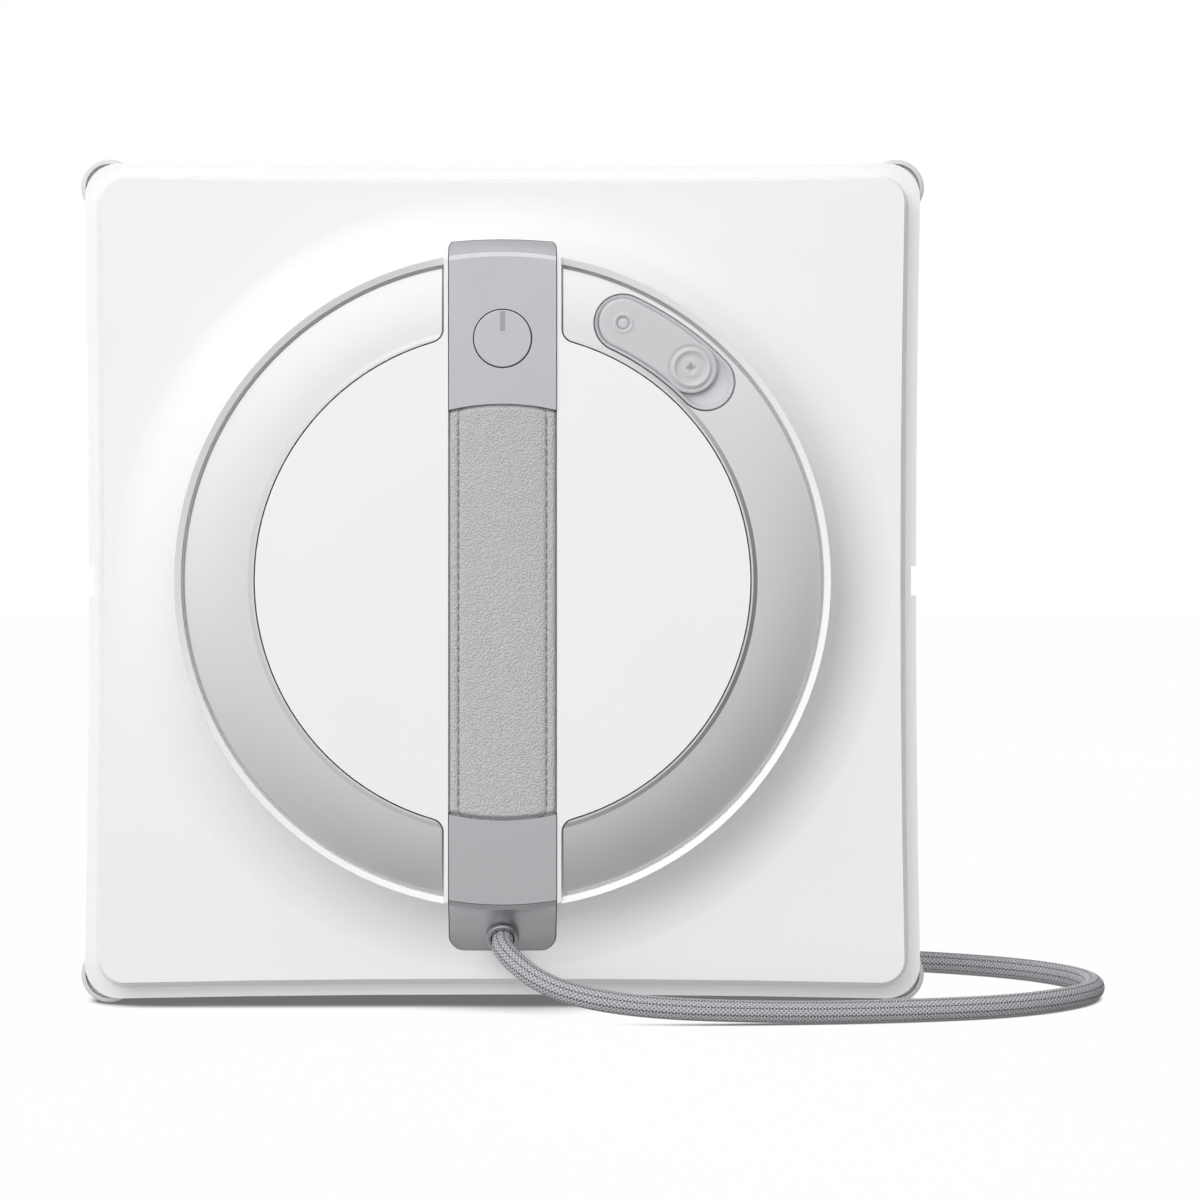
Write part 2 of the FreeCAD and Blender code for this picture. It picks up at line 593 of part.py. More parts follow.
def make_base_frame():
    lip_back = FLANGE_Y + 3.0
    lip = slab(FLANGE_HALF, FLANGE_HALF, 9.6, FLANGE_Y, lip_back, hollow=FLANGE_BOW)
    lip = lip.cut(slab(WALL_HALF - WALL_T, WALL_HALF - WALL_T, WALL_CORNER - WALL_T, FLANGE_Y - 1, lip_back + 1))
    wall = frame(WALL_HALF, WALL_CORNER, WALL_HALF - WALL_T, WALL_CORNER - WALL_T, lip_back - 1, PLATE_Y)
    bosses = [rod(4.0, lip_back - 1, PLATE_Y, x, z) for x, z in boss_spots()]
    body = fused([lip, wall] + bosses)
    for x, z in boss_spots():
        body = body.cut(rod(1.4, PLATE_Y - 12, PLATE_Y + 1, x, z))
    for x, z in corners(ROLLER_AT):
        body = body.cut(rod(PIN_R, FLANGE_Y + 0.8, lip_back + 1, x, z))
    for sign in (1, -1):
        x0, x1 = sorted((sign * NOTCH_X, sign * (FLANGE_HALF + 1)))
        body = body.cut(box(x0, x1, FLANGE_Y - 1, lip_back + 1, -4.15, 4.15))
        x0, x1 = sorted((sign * (WALL_HALF - 8), sign * (FLANGE_HALF + 1)))
        body = body.cut(box(x0, x1, FLANGE_Y + 0.7, FLANGE_Y + 8.0, -3.4, 3.4))
    for k in range(5):
        z = -36.2 + 3.2 * k
        body = body.cut(box(WALL_HALF - 6, WALL_HALF + 1, DUCT_FRONT + 0.6, DUCT_BACK - 0.8, z - 0.8, z + 0.8))
    return body


def make_nozzle():
    body = box(WALL_HALF - 5, NOTCH_X - 0.1, FLANGE_Y + 0.75, FLANGE_Y + 7.9, -3.35, 3.35)
    window = box(NOTCH_X - 0.9, FLANGE_HALF, FLANGE_Y + 2.0, FLANGE_Y + 6.4, -2.2, 2.2)
    hole = rod_x(0.6, WALL_HALF - 6, FLANGE_HALF, FLANGE_Y + 4.2, 0)
    return body.cut(window).cut(hole)


def make_base_plate():
    back = PLATE_Y + PLATE_T
    rim = slab(HALF - 4.5, HALF - 4.5, 7.0, PLATE_Y, back)
    dish = slab(DISH_HALF, DISH_HALF, 12, CEILING_Y, back)
    body = rim.fuse(dish)
    inner = DISH_HALF - 3.0
    body = body.cut(slab(inner, inner, 9, CEILING_Y + CEILING_T, back + 1))
    body = body.cut(rod(INLET_R, CEILING_Y - 1, CEILING_Y + CEILING_T + 1))
    for x, z in boss_spots():
        body = body.cut(rod(1.5, PLATE_Y - 1, back + 1, x, z)).cut(rod(3.0, back - 1.6, back + 1, x, z))
    for x, z in corners(ROLLER_AT):
        body = body.cut(rod(PIN_R, PLATE_Y - 1, PLATE_Y + 1.8, x, z))
    for x, z in corners(SENSOR_AT):
        body = body.cut(rod(SENSOR_R + RUN, PLATE_Y - 1, back + 1, x, z))
    return body.removeSplitter()


def make_screws():
    back = PLATE_Y + PLATE_T
    screws = []
    for x, z in boss_spots():
        head = rod(2.8, back - 1.6, back - 0.1, x, z)
        slot = box(x - 2.0, x + 2.0, back - 0.7, back, z - 0.35, z + 0.35)
        screws.append(head.cut(slot).fuse(rod(1.4, PLATE_Y - 10, back - 1.6, x, z)))
    return Part.makeCompound(screws)


def make_pads():
    opening = DISH_HALF + 4.0
    plate = frame(HALF - 4.5, 9.0, opening, 14, PLATE_Y + PLATE_T, PAD_Y)
    pad = frame(HALF - 3.8, 10.0, opening + 1.5, 15, PAD_Y, PAD_BACK)
    for x, z in corners(SENSOR_AT):
        plate = plate.cut(rod(SENSOR_R + 0.4, PLATE_Y, BACK, x, z))
        pad = pad.cut(rod(SENSOR_R + 1.2, PLATE_Y, BACK, x, z))
    return plate, pad


def make_seal():
    foot = frame(DISH_HALF + 3.6, 15, DISH_HALF - 2.5, 9.5, PLATE_Y + PLATE_T, PLATE_Y + PLATE_T + 2)
    lip = frame(DISH_HALF + 2.2, 14, DISH_HALF - 0.2, 12, PLATE_Y + PLATE_T + 1.5, BACK - 0.3)
    return foot.fuse(lip).removeSplitter()


def make_grille():
    y0 = CEILING_Y + CEILING_T
    y1 = y0 + 1.6
    rings = [rod(INLET_R + 3, y0, y1).cut(rod(INLET_R - 1, y0 - 1, y1 + 1))]
    for radius in (4.0, 9.0):
        rings.append(rod(radius + 0.9, y0, y1).cut(rod(radius - 0.9, y0 - 1, y1 + 1)))
    for k in range(3):
        bar = box(-INLET_R - 0.5, INLET_R + 0.5, y0, y1, -0.8, 0.8)
        bar.rotate(V(0, 0, 0), V(0, 1, 0), 60 * k)
        rings.append(bar)
    return fused(rings)


# ================================================================ fan
def make_fan():
    top = FAN_SPLIT
    back = CEILING_Y
    duct_y0 = DUCT_FRONT
    duct_y1 = DUCT_BACK
    outer = rod(VOLUTE_R, top, back)
    duct = box(8, WALL_HALF - WALL_T, duct_y0, duct_y1, -38, -21.6)
    body = outer.fuse(duct)
    body = body.cut(rod(VOLUTE_R - 1.6, top + 1.6, back - 1.4))
    body = body.cut(box(8, WALL_HALF, duct_y0 + 1.4, duct_y1 - 1.4, -36.6, -23.0))
    body = body.cut(rod(INLET_R, back - 2, back + 1)).cut(rod(SHAFT_R + 1.0, top - 1, top + 2))
    blades = []
    hub_back = back - 3.6
    plate_y = top + 3.0
    for k in range(9):
        blade = box(5.0, IMPELLER_R - 0.5, plate_y, hub_back, -0.7, 0.7)
        blade.rotate(V(5, 0, 0), V(0, 1, 0), 28)
        blade.rotate(V(0, 0, 0), V(0, 1, 0), 40 * k)
        blades.append(blade)
    limit = rod(IMPELLER_R, plate_y, hub_back)
    wheel = fused([rod(IMPELLER_R, plate_y, plate_y + 1.3), rod(6.0, plate_y, hub_back)] + blades)
    wheel = wheel.common(limit).cut(rod(SHAFT_R, plate_y - 1, hub_back + 1))
    shaft = rod(SHAFT_R, FAN_FRONT + 0.8, hub_back)
    motor = rod(17.0, FAN_FRONT, top)
    motor = motor.cut(rod(5.0, FAN_FRONT + 0.6, top + 1)).cut(rod(4.0, FAN_FRONT - 1, top))
    span = top - FAN_FRONT
    bearings = []
    for y in (FAN_FRONT + 0.18 * span, FAN_FRONT + 0.68 * span):
        bearings.append(rod(5.0, y, y + 2.4).cut(rod(SHAFT_R + RUN, y - 1, y + 4)))
    return body, wheel, shaft, motor, Part.makeCompound(bearings)


# ================================================================ tracks
def stadium(radius, x0, x1):
    """A belt-shaped block round both wheels."""
    block = box(x0, x1, WHEEL_Y - radius, WHEEL_Y + radius, -TRACK_Z, TRACK_Z)
    ends = [rod_x(radius, x0, x1, WHEEL_Y, z) for z in (-TRACK_Z, TRACK_Z)]
    return fused([block] + ends)


def make_belt():
    x0, x1 = TRACK_X - BELT_W / 2, TRACK_X + BELT_W / 2
    loop = stadium(BELT_OUT, x0, x1).cut(stadium(BELT_IN, x0 - 1, x1 + 1))
    treads = []
    count = int(2 * TRACK_Z / 6.5)
    pitch = 2 * TRACK_Z / count
    for k in range(count):
        z = -TRACK_Z + pitch * (k + 0.5)
        treads.append(box(x0, x1, WHEEL_Y + BELT_OUT - 0.3, WHEEL_Y + TREAD_R, z - 1.6, z + 1.6))
        treads.append(box(x0, x1, WHEEL_Y - TREAD_R, WHEEL_Y - BELT_OUT + 0.3, z - 1.6, z + 1.6))
    for end in (1, -1):
        for angle in (-60, -20, 20, 60):
            tread = box(x0, x1, -1.6, 1.6, BELT_OUT - 0.3, TREAD_R)
            tread.rotate(V(0, 0, 0), V(1, 0, 0), angle)
            if end < 0:
                tread.rotate(V(0, 0, 0), V(1, 0, 0), 180)
            tread.translate(V(0, WHEEL_Y, end * TRACK_Z))
            treads.append(tread)
    return fused([loop] + treads)


def make_wheel(z, driven):
    x0, x1 = TRACK_X - WHEEL_W / 2, TRACK_X + WHEEL_W / 2
    wheel = rod_x(WHEEL_R, x0, x1, WHEEL_Y, z)
    for x_a, x_b in ((x0 - 1, x0 + 2), (x1 - 2, x1 + 1)):
        dish = rod_x(WHEEL_R - 1.4, x_a, x_b, WHEEL_Y, z).cut(rod_x(3.6, x_a - 1, x_b + 1, WHEEL_Y, z))
        wheel = wheel.cut(dish)
    for k in range(6):
        dy, dz = polar(4.95, 60 * k)
        wheel = wheel.cut(rod_x(0.9, x0 - 1, x1 + 1, WHEEL_Y + dy, z + dz))
    if driven:
        wheel = wheel.fuse(rod_x(2.4, x0 - 8.0, x0 + 3, WHEEL_Y, z))
        wheel = wheel.fuse(rod_x(2.0, x1 - 3, x1 + 2.6, WHEEL_Y, z))
    else:
        wheel = wheel.cut(rod_x(2.0 + RUN, x0 - 1, x1 + 1, WHEEL_Y, z))
    return wheel.removeSplitter()


def make_track_frame():
    x0, x1 = TRACK_X - WHEEL_W / 2, TRACK_X + WHEEL_W / 2
    y0, y1 = CEILING_Y + CEILING_T, WHEEL_Y + 6
    pieces = [box(x0 - 3.0, x0 - 1.0, y0, y1, -TRACK_Z - 7, TRACK_Z + 7)]
    pieces.append(box(x1 + 1.0, x1 + 3.0, y0, y1, -TRACK_Z - 7, TRACK_Z + 7))
    pieces.append(box(x0 - 3.0, x1 + 3.0, WHEEL_Y - 5, WHEEL_Y + 5, -20, 20))
    pieces.append(rod_x(2.0, x0 - 3.0, x1 + 3.0, WHEEL_Y, TRACK_Z))
    body = fused(pieces)
    body = body.cut(rod_x(2.4 + RUN, x0 - 4, x0, WHEEL_Y, -TRACK_Z))
    return body.cut(rod_x(2.0 + RUN, x1, x1 + 4, WHEEL_Y, -TRACK_Z))


def make_gearmotor():
    x_end = TRACK_X - WHEEL_W / 2 - 3.0
    x0 = x_end - 28.0
    can = rod_x(MOTOR_R - 1.0, x0, x_end - 12, WHEEL_Y, -TRACK_Z)
    box_part = rod_x(MOTOR_R, x_end - 12, x_end, WHEEL_Y, -TRACK_Z)
    foot = box(x_end - 12, x_end, CEILING_Y + CEILING_T, WHEEL_Y, -TRACK_Z - 6, -TRACK_Z + 6)
    body = fused([can, box_part, foot])
    return body.cut(rod_x(2.4 + RUN, x_end - 6, x_end + 1, WHEEL_Y, -TRACK_Z))


# ================================================================ rollers, sensors
def make_roller(x, z):
    y0, y1 = FLANGE_Y + 3.5, PLATE_Y - 0.5
    roller = rod(ROLLER_R, y0, y1, x, z)
    rims = [e for e in roller.Edges if len(e.Vertexes) == 1]
    roller = roller.makeFillet(0.7, rims)
    dish = rod(ROLLER_R - ROLLER_RIM, y0 - 1, y0 + ROLLER_DISH, x, z).cut(rod(HUB_R, y0 - 2, y0 + ROLLER_DISH + 1, x, z))
    return roller.cut(dish).cut(rod(PIN_R + RUN, y0 - 1, y1 + 1, x, z))


def make_sensor(x, z):
    tip = rod(SENSOR_R, PLATE_Y - 4, BACK, x, z)
    rim = [e for e in tip.Edges if len(e.Vertexes) == 1 and e.BoundBox.YMin > BACK - 0.1]
    tip = tip.makeFillet(1.2, rim)
    return tip.fuse(rod(SENSOR_R + 1.2, PLATE_Y - 5.5, PLATE_Y - 0.6, x, z)).removeSplitter()


# ================================================================ inside
def make_pump():
    x, y = HALF - 25.0, 0.5 * (FLANGE_Y + PLATE_Y) + 1.0
    body = rod_z(9.0, 22, 48, x, y).fuse(rod_z(6.5, 16, 22, x, y))
    return body.removeSplitter(), x, y


def make_hoses(x, y):
    r1 = RING_OUT - 2.4
    out_x, out_z = polar(r1, 35)
    top = RECESS_Y + 3.0
    feed = tube([
        (out_x, top + 11, out_z), (out_x * 1.25, top + 11, out_z * 1.25),
        (x + 3, y - 4, 70), (x + 3, y - 4, 48),
    ], 1.8)
    side = WALL_HALF - 5
    spray = FLANGE_Y + 4.2
    right = tube([(x, y, 16), (x, y, 4), (x + 4, spray, 0), (side, spray, 0)], 1.8)
    over = HALF - 24
    left = tube([
        (x - 4, y, 48), (x - 4, y, over), (-x, y, over),
        (-x, y, 14), (-x - 3, spray, 0), (-side, spray, 0),
    ], 1.8)
    return Part.makeCompound([feed, right, left])


def make_battery():
    y0, y1 = FLANGE_Y + 4.5, PLATE_Y - 1.0
    centre = -(DISH_HALF + 3.0 + BATTERY_TALL / 2)
    return slab(BATTERY_HALF, BATTERY_TALL / 2, 5.0, y0, y1, 0, centre)


def make_board():
    y0 = PANEL_Y + SKIN + 2.0
    x0, x1 = -WALL_HALF + 8, -VOLUTE_R - 8
    board = box(x0, x1, y0, y0 + 1.6, BOARD_LOW, BOARD_LOW + BOARD_TALL)
    chips = [
        box(x0 + 6, x0 + 20, y0 + 1.5, y0 + 3.4, 20, 34),
        box(x0 + 26, x0 + 40, y0 + 1.5, y0 + 6.0, 16, 22),
        box(x0 + 8, x0 + 14, y0 + 1.5, y0 + 7.0, 44, 64),
        rod(4.0, y0 + 1.5, y0 + 8.5, x0 + 30, 50),
        rod(4.0, y0 + 1.5, y0 + 8.5, x0 + 30, 62),
    ]
    return fused([board] + chips)


# ================================================================ cord
FLOOR = -HALF
CORD_Z = FLOOR + CORD_R
PLUG_Z = FLOOR + 8.4
TAIL_END = -8.0


def cord_points():
    start = cord_axis(BOSS_BACK)
    first = cord_axis(8.0)
    back = BACK - 30.0
    near = COIL_Y - COIL_OUTER_TURN
    return [
        start,
        first,
        (first[0] + 12.8, first[1] - 12.8, first[2] - 8.4),
        (36.5, first[1] - 17.4, CORD_Z + 1.5),
        (76.0, first[1] - 16.0, CORD_Z),
        (112.0, first[1] - 11.8, CORD_Z),
        (144.0, back - 29.5, CORD_Z),
        (167.5, back - 9.5, CORD_Z),
        (173.2, back + 14.0, CORD_Z),
        (163.0, back + 35.0, CORD_Z),
        (143.0, back + 50.0, CORD_Z),
        (112.0, back + 62.5, CORD_Z),
        (80.0, near + 0.6, CORD_Z),
        (COIL_X, near, CORD_Z),
    ]


def tail_points():
    near = COIL_Y - COIL_R
    top = FLOOR + COIL_TALL - CORD_R - 0.2
    return [
        (COIL_X - 2, near, top),
        (COIL_X - 20, near, top - 0.8),
        (TAIL_END + 16, near, PLUG_Z),
        (TAIL_END, near, PLUG_Z),
    ]


def make_coil():
    half_w, half_t = COIL_WIDE / 2, COIL_TALL / 2
    section = rounded_wire(half_w, half_t, 4.5, 0)
    ring = Part.Face(section)
    ring.translate(V(COIL_R, 0, FLOOR + half_t))
    coil = ring.revolve(V(0, 0, 0), V(0, 0, 1), 360)
    coil.translate(V(COIL_X, COIL_Y, 0))
    return coil


def make_plug():
    y = COIL_Y - COIL_R
    relief = Part.makeCone(CORD_R + 0.6, 6.0, 9, V(TAIL_END, y, PLUG_Z), V(-1, 0, 0))
    body = rod_x(7.0, TAIL_END - 27, TAIL_END - 9, y, PLUG_Z)
    nose = rod_x(4.5, TAIL_END - 41, TAIL_END - 27, y, PLUG_Z)
    nose = nose.cut(rod_x(3.0, TAIL_END - 42, TAIL_END - 29, y, PLUG_Z))
    pin = rod_x(1.1, TAIL_END - 38, TAIL_END - 28, y, PLUG_Z)
    plug = fused([relief, body, nose, pin])
    key = box(TAIL_END - 41, TAIL_END - 28, y - 0.8, y + 0.8, PLUG_Z + 4.0, PLUG_Z + 5.6)
    collar = rod_x(8.2, TAIL_END - 25, TAIL_END - 12, y, PLUG_Z)
    for k in range(16):
        dy, dz = polar(8.5, 22.5 * k)
        collar = collar.cut(rod_x(0.8, TAIL_END - 24, TAIL_END - 13, y + dy, PLUG_Z + dz))
    collar = collar.cut(rod_x(7.0 + RUN, TAIL_END - 26, TAIL_END - 11, y, PLUG_Z))
    return plug, collar


# ================================================================ build
def build():
    save("top_cover", make_cover())
    save("base_frame", make_base_frame())
    save("base_plate", make_base_plate())
    plate, pad = make_pads()
    save("pad_plate", plate)
    save("cleaning_pad", pad)
    save("suction_seal", make_seal())
    save("inlet_grille", make_grille())
    save("case_screws", make_screws())

    ring = make_ring()
    slot = arc_pill(FILL_R, FILL_END, FILL_POST, POCKET, DISC_Y - 2, RECESS_Y + 1)
    save("ring_trim_right", ring.cut(slot))
    save("ring_trim_left", mirrored(ring))
    upper, lower = make_caps()
    save("handle_cap_upper", upper)
    save("handle_cap_lower", lower)
    save("cord_exit_cover", make_exit_cover())
    save("cord_eyelet", make_eyelet())
    save("cord_clamp", cord_rod(CLAMP_R, BOSS_BACK - CLAMP_LONG, BOSS_BACK))
    save("strap_grip", make_strap())
    save("strap_end_upper", make_strap_end(CAP_EDGE_UP, 1, 8.5))
    save("strap_end_lower", make_strap_end(CAP_EDGE_LOW, -1, 12.0))
    button, light = make_button()
    save("power_button", button)
    save("button_light", light)
    save("button_switch", box(-3, 3, DEEP_FLOOR - 2.4, DEEP_FLOOR, BUTTON_Z - 3, BUTTON_Z + 3))

    seat, anchor, flap = make_filler()
    save("filler_seat", seat)
    save("filler_anchor", anchor)
    save("filler_flap", flap)
    save("water_tank", make_tank())
    pump, pump_x, pump_y = make_pump()
    save("water_pump", pump)
    save("water_hoses", make_hoses(pump_x, pump_y))
    save("nozzle_right", make_nozzle())
    save("nozzle_left", mirrored(make_nozzle()))

    volute, wheel, shaft, motor, bearings = make_fan()
    save("fan_volute", volute)
    save("impeller", wheel)
    save("fan_shaft", shaft)
    save("fan_motor", motor)
    save("fan_bearings", bearings)

    drive = {
        "track_belt": make_belt(),
        "drive_wheel": make_wheel(-TRACK_Z, True),
        "idler_wheel": make_wheel(TRACK_Z, False),
        "track_frame": make_track_frame(),
        "gearmotor": make_gearmotor(),
    }
    for name, shape in drive.items():
        save(name + "_right", shape)
        save(name + "_left", mirrored(shape))

    tags = {(1, 1): "top_right", (1, -1): "bottom_right", (-1, 1): "top_left", (-1, -1): "bottom_left"}
    pins = []
    for (sx, sz), tag in tags.items():
        save("roller_" + tag, make_roller(sx * ROLLER_AT, sz * ROLLER_AT))
        save("edge_sensor_" + tag, make_sensor(sx * SENSOR_AT, sz * SENSOR_AT))
        pins.append(rod(PIN_R, FLANGE_Y + 0.8, PLATE_Y + 1.8, sx * ROLLER_AT, sz * ROLLER_AT))
    save("roller_pins", Part.makeCompound(pins))

    save("battery_pack", make_battery())
    save("main_board", make_board())

    save("cord_tube", tube(cord_points(), CORD_R, "cord_tube"))
    save("cord_tail", tube(tail_points(), CORD_R, "cord_tail"))
    save("cord_coil", make_coil())
    plug, collar = make_plug()
    save("cord_plug", plug)
    save("plug_collar", collar)


build()
os.makedirs("parts", exist_ok=True)
for name, shape in PARTS:
    solid = shape.copy()
    solid.translate(V(0, 0, HALF))
    solid.exportStep(os.path.join("parts", name + ".step"))
    b = solid.BoundBox
    print("%-24s solids %d valid %s  x %.1f %.1f  y %.1f %.1f  z %.1f %.1f  vol %.0f" % (
        name, len(solid.Solids), solid.isValid(), b.XMin, b.XMax, b.YMin, b.YMax, b.ZMin, b.ZMax, solid.Volume))
print(len(PARTS), "parts")
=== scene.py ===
import json
import math
import bpy
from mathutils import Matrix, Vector


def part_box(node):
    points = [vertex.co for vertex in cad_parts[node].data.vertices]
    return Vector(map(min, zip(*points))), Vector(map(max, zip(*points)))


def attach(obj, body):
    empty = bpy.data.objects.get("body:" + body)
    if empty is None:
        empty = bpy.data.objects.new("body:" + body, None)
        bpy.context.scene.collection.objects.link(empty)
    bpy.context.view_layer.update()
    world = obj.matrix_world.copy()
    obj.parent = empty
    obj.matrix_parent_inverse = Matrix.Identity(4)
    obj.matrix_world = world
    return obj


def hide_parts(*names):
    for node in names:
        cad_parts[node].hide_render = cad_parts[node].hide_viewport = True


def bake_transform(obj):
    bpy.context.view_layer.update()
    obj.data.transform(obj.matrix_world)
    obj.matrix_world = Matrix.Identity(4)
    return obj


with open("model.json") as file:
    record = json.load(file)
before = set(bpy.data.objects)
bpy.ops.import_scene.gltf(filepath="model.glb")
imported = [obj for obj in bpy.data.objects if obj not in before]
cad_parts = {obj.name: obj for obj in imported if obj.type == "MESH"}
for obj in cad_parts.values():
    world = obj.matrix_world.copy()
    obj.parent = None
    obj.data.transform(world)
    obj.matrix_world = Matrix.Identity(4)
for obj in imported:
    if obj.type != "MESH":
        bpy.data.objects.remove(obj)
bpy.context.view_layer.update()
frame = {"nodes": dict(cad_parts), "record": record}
scene = bpy.context.scene
nodes = frame["nodes"]
MM = 0.001
MID = (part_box("base_frame")[0].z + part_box("base_frame")[1].z) / 2   # robot's centre height, metres
MID_MM = MID / MM


def ease(k):
    """Smooth step from 0 to 1."""
    return k * k * (3 - 2 * k)


def clamp(value, low=0.0, high=1.0):
    return min(high, max(low, value))


# ------------------------------------------------------------------ camera
camera_data = bpy.data.cameras.new("camera")
camera_data.lens = 78.2
camera_data.sensor_width = 36.0
camera_data.shift_x = 0.0812
camera_data.shift_y = -0.0083
camera = bpy.data.objects.new("camera", camera_data)
camera.location = (0.0, -0.7485, 0.1174)
camera.rotation_euler = (math.radians(90), 0, 0)
scene.collection.objects.link(camera)
scene.camera = camera


# ------------------------------------------------------------------ mesh helpers
def new_mesh(name, verts, faces, uvs=None, smooth=True):
    mesh = bpy.data.meshes.new(name)
    mesh.from_pydata(verts, [], faces)
    mesh.validate()
    if smooth:
        mesh.polygons.foreach_set("use_smooth", [True] * len(mesh.polygons))
    if uvs is not None:
        layer = mesh.uv_layers.new(name="UVMap")
        for loop in mesh.loops:
            layer.data[loop.index].uv = uvs[loop.vertex_index]
    obj = bpy.data.objects.new(name, mesh)
    scene.collection.objects.link(obj)
    return obj


def tube_mesh(name, path, radius, sides=24):
    """A round tube along a list of points; u runs round it and v along it in metres."""
    verts, faces, uvs = [], [], []
    normal = Vector((0, 0, 1))
    run = 0.0
    for i, p in enumerate(path):
        ahead = path[min(i + 1, len(path) - 1)] - path[max(i - 1, 0)]
        t = ahead.normalized()
        normal = (normal - t * normal.dot(t)).normalized()
        side = t.cross(normal)
        if i:
            run += (p - path[i - 1]).length
        for k in range(sides + 1):
            a = 2 * math.pi * k / sides
            verts.append(p + (normal * math.cos(a) + side * math.sin(a)) * radius)
            uvs.append((k / sides, run))
    row = sides + 1
    for i in range(len(path) - 1):
        for k in range(sides):
            a = i * row + k
            faces.append((a, a + 1, a + row + 1, a + row))
    return new_mesh(name, verts, faces, uvs)


# ------------------------------------------------------------------ cord
CORD_R = 3.0 * MM
COIL = (50.0, 100.0)              # centre of the coil on the floor, millimetres
COIL_TURNS = 5
TURN_POINTS = 14
COIL_LAYOUT = [(35.0, 3.0), (29.0, 3.0), (29.0, 9.0), (35.0, 9.0), (32.0, 14.2), (32.0, 14.2)]
STEP_FROM = 0.72                  # share of a turn after which it moves over to the next one


def cord_route():
    """Listed points to behind the robot, a worked-out coil, and the end at the plug."""
    points = [
        (0, -13.96, 24.5), (0, -20.0, 21.0), (0, -26.9, 17.0), (12.8, -39.7, 8.6), (36.5, -44.3, 4.5),
        (76.0, -42.9, 3.0), (112.0, -38.7, 3.0), (144.0, -29.5, 3.0), (167.5, -9.5, 3.0),
        (173.2, 14.0, 3.0), (163.0, 35.0, 3.0), (143.0, 50.0, 3.0), (112.0, 62.5, 3.0),
        (80.0, 65.5, 3.0),
    ]
    for k in range(COIL_TURNS * TURN_POINTS + 1):
        t = k / TURN_POINTS
        here, following = COIL_LAYOUT[int(t)], COIL_LAYOUT[min(int(t) + 1, COIL_TURNS)]
        over = ease(max(0.0, (t - int(t) - STEP_FROM) / (1 - STEP_FROM)))
        radius = here[0] + (following[0] - here[0]) * over
        height = here[1] + (following[1] - here[1]) * over
        a = math.radians(-90 - 360 * t)
        points.append((COIL[0] + radius * math.cos(a), COIL[1] + radius * math.sin(a), height))
    points += [(30.0, 68.0, 13.6), (8.0, 68.0, 8.6), (-1.0, 68.0, 8.4), (-8.0, 68.0, 8.4)]
    return [Vector(p) * MM for p in points]


def cord_line():
    """The route as a smooth curve, read back as a list of points."""
    route = cord_route()
    curve = bpy.data.curves.new("cord_line", "CURVE")
    curve.dimensions = "3D"
    spline = curve.splines.new("NURBS")
    spline.points.add(len(route) - 1)
    for point, place in zip(spline.points, route):
        point.co = (*place, 1.0)
    spline.order_u = 3
    spline.use_endpoint_u = True
    spline.resolution_u = 16
    obj = bpy.data.objects.new("cord_line", curve)
    scene.collection.objects.link(obj)
    bpy.context.view_layer.update()
    depsgraph = bpy.context.evaluated_depsgraph_get()
    line = bpy.data.meshes.new_from_object(obj.evaluated_get(depsgraph))
    points = [v.co.copy() for v in line.vertices]
    bpy.data.objects.remove(obj)
    return points


line = cord_line()
cord = tube_mesh("braided_cord", line, CORD_R)
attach(cord, "robot")
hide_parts("cord_tube", "cord_coil", "cord_tail")


# ------------------------------------------------------------------ material helpers
class Look:
    """A principled material put together from procedural nodes."""

    def __init__(self, name, **settings):
        self.mat = bpy.data.materials.new(name)
        self.mat.use_nodes = True
        self.tree = self.mat.node_tree
        self.tree.nodes.clear()
        self.out = self.tree.nodes.new("ShaderNodeOutputMaterial")
        self.bsdf = self.tree.nodes.new("ShaderNodeBsdfPrincipled")
        self.tree.links.new(self.bsdf.outputs[0], self.out.inputs[0])
        self.place = self.node("ShaderNodeTexCoord").outputs["Object"]
        for key, value in settings.items():
            self.set(key.replace("_", " "), value)

    def set(self, key, value):
        socket = self.bsdf.inputs[key]
        if isinstance(value, bpy.types.NodeSocket):
            self.tree.links.new(value, socket)
        else:
            socket.default_value = value

    def node(self, kind, inputs=None, **props):
        made = self.tree.nodes.new(kind)
        for key, value in props.items():
            setattr(made, key, value)
        for key, value in (inputs or {}).items():
            if isinstance(value, bpy.types.NodeSocket):
                self.tree.links.new(value, made.inputs[key])
            else:
                made.inputs[key].default_value = value
        return made

    def math(self, operation, a, b=0.0, c=0.0):
        return self.node("ShaderNodeMath", {0: a, 1: b, 2: c}, operation=operation).outputs[0]

    def noise(self, scale, detail=3.0, rough=0.5, where=None):
        inputs = {"Vector": where or self.place, "Scale": scale, "Detail": detail, "Roughness": rough}
        return self.node("ShaderNodeTexNoise", inputs).outputs[0]

    def span(self, value, low, high, from_low=0.3, from_high=0.7):
        inputs = {0: value, 1: from_low, 2: from_high, 3: low, 4: high}
        return self.node("ShaderNodeMapRange", inputs).outputs[0]

    def blend(self, amount, one, two):
        made = self.node("ShaderNodeMix", data_type="RGBA")
        for index, value in ((0, amount), (6, one), (7, two)):
            if isinstance(value, bpy.types.NodeSocket):
                self.tree.links.new(value, made.inputs[index])
            elif isinstance(value, (int, float)):
                made.inputs[index].default_value = value
            else:
                made.inputs[index].default_value = (*value, 1.0)
        return made.outputs[2]

    def bump(self, height, strength, distance):
        made = self.node("ShaderNodeBump", {"Height": height, "Strength": strength, "Distance": distance})
        self.set("Normal", made.outputs[0])
        return made


def tone(color, factor):
    """A lighter or darker version of a colour."""
    return tuple(min(1.0, c * factor) for c in color)


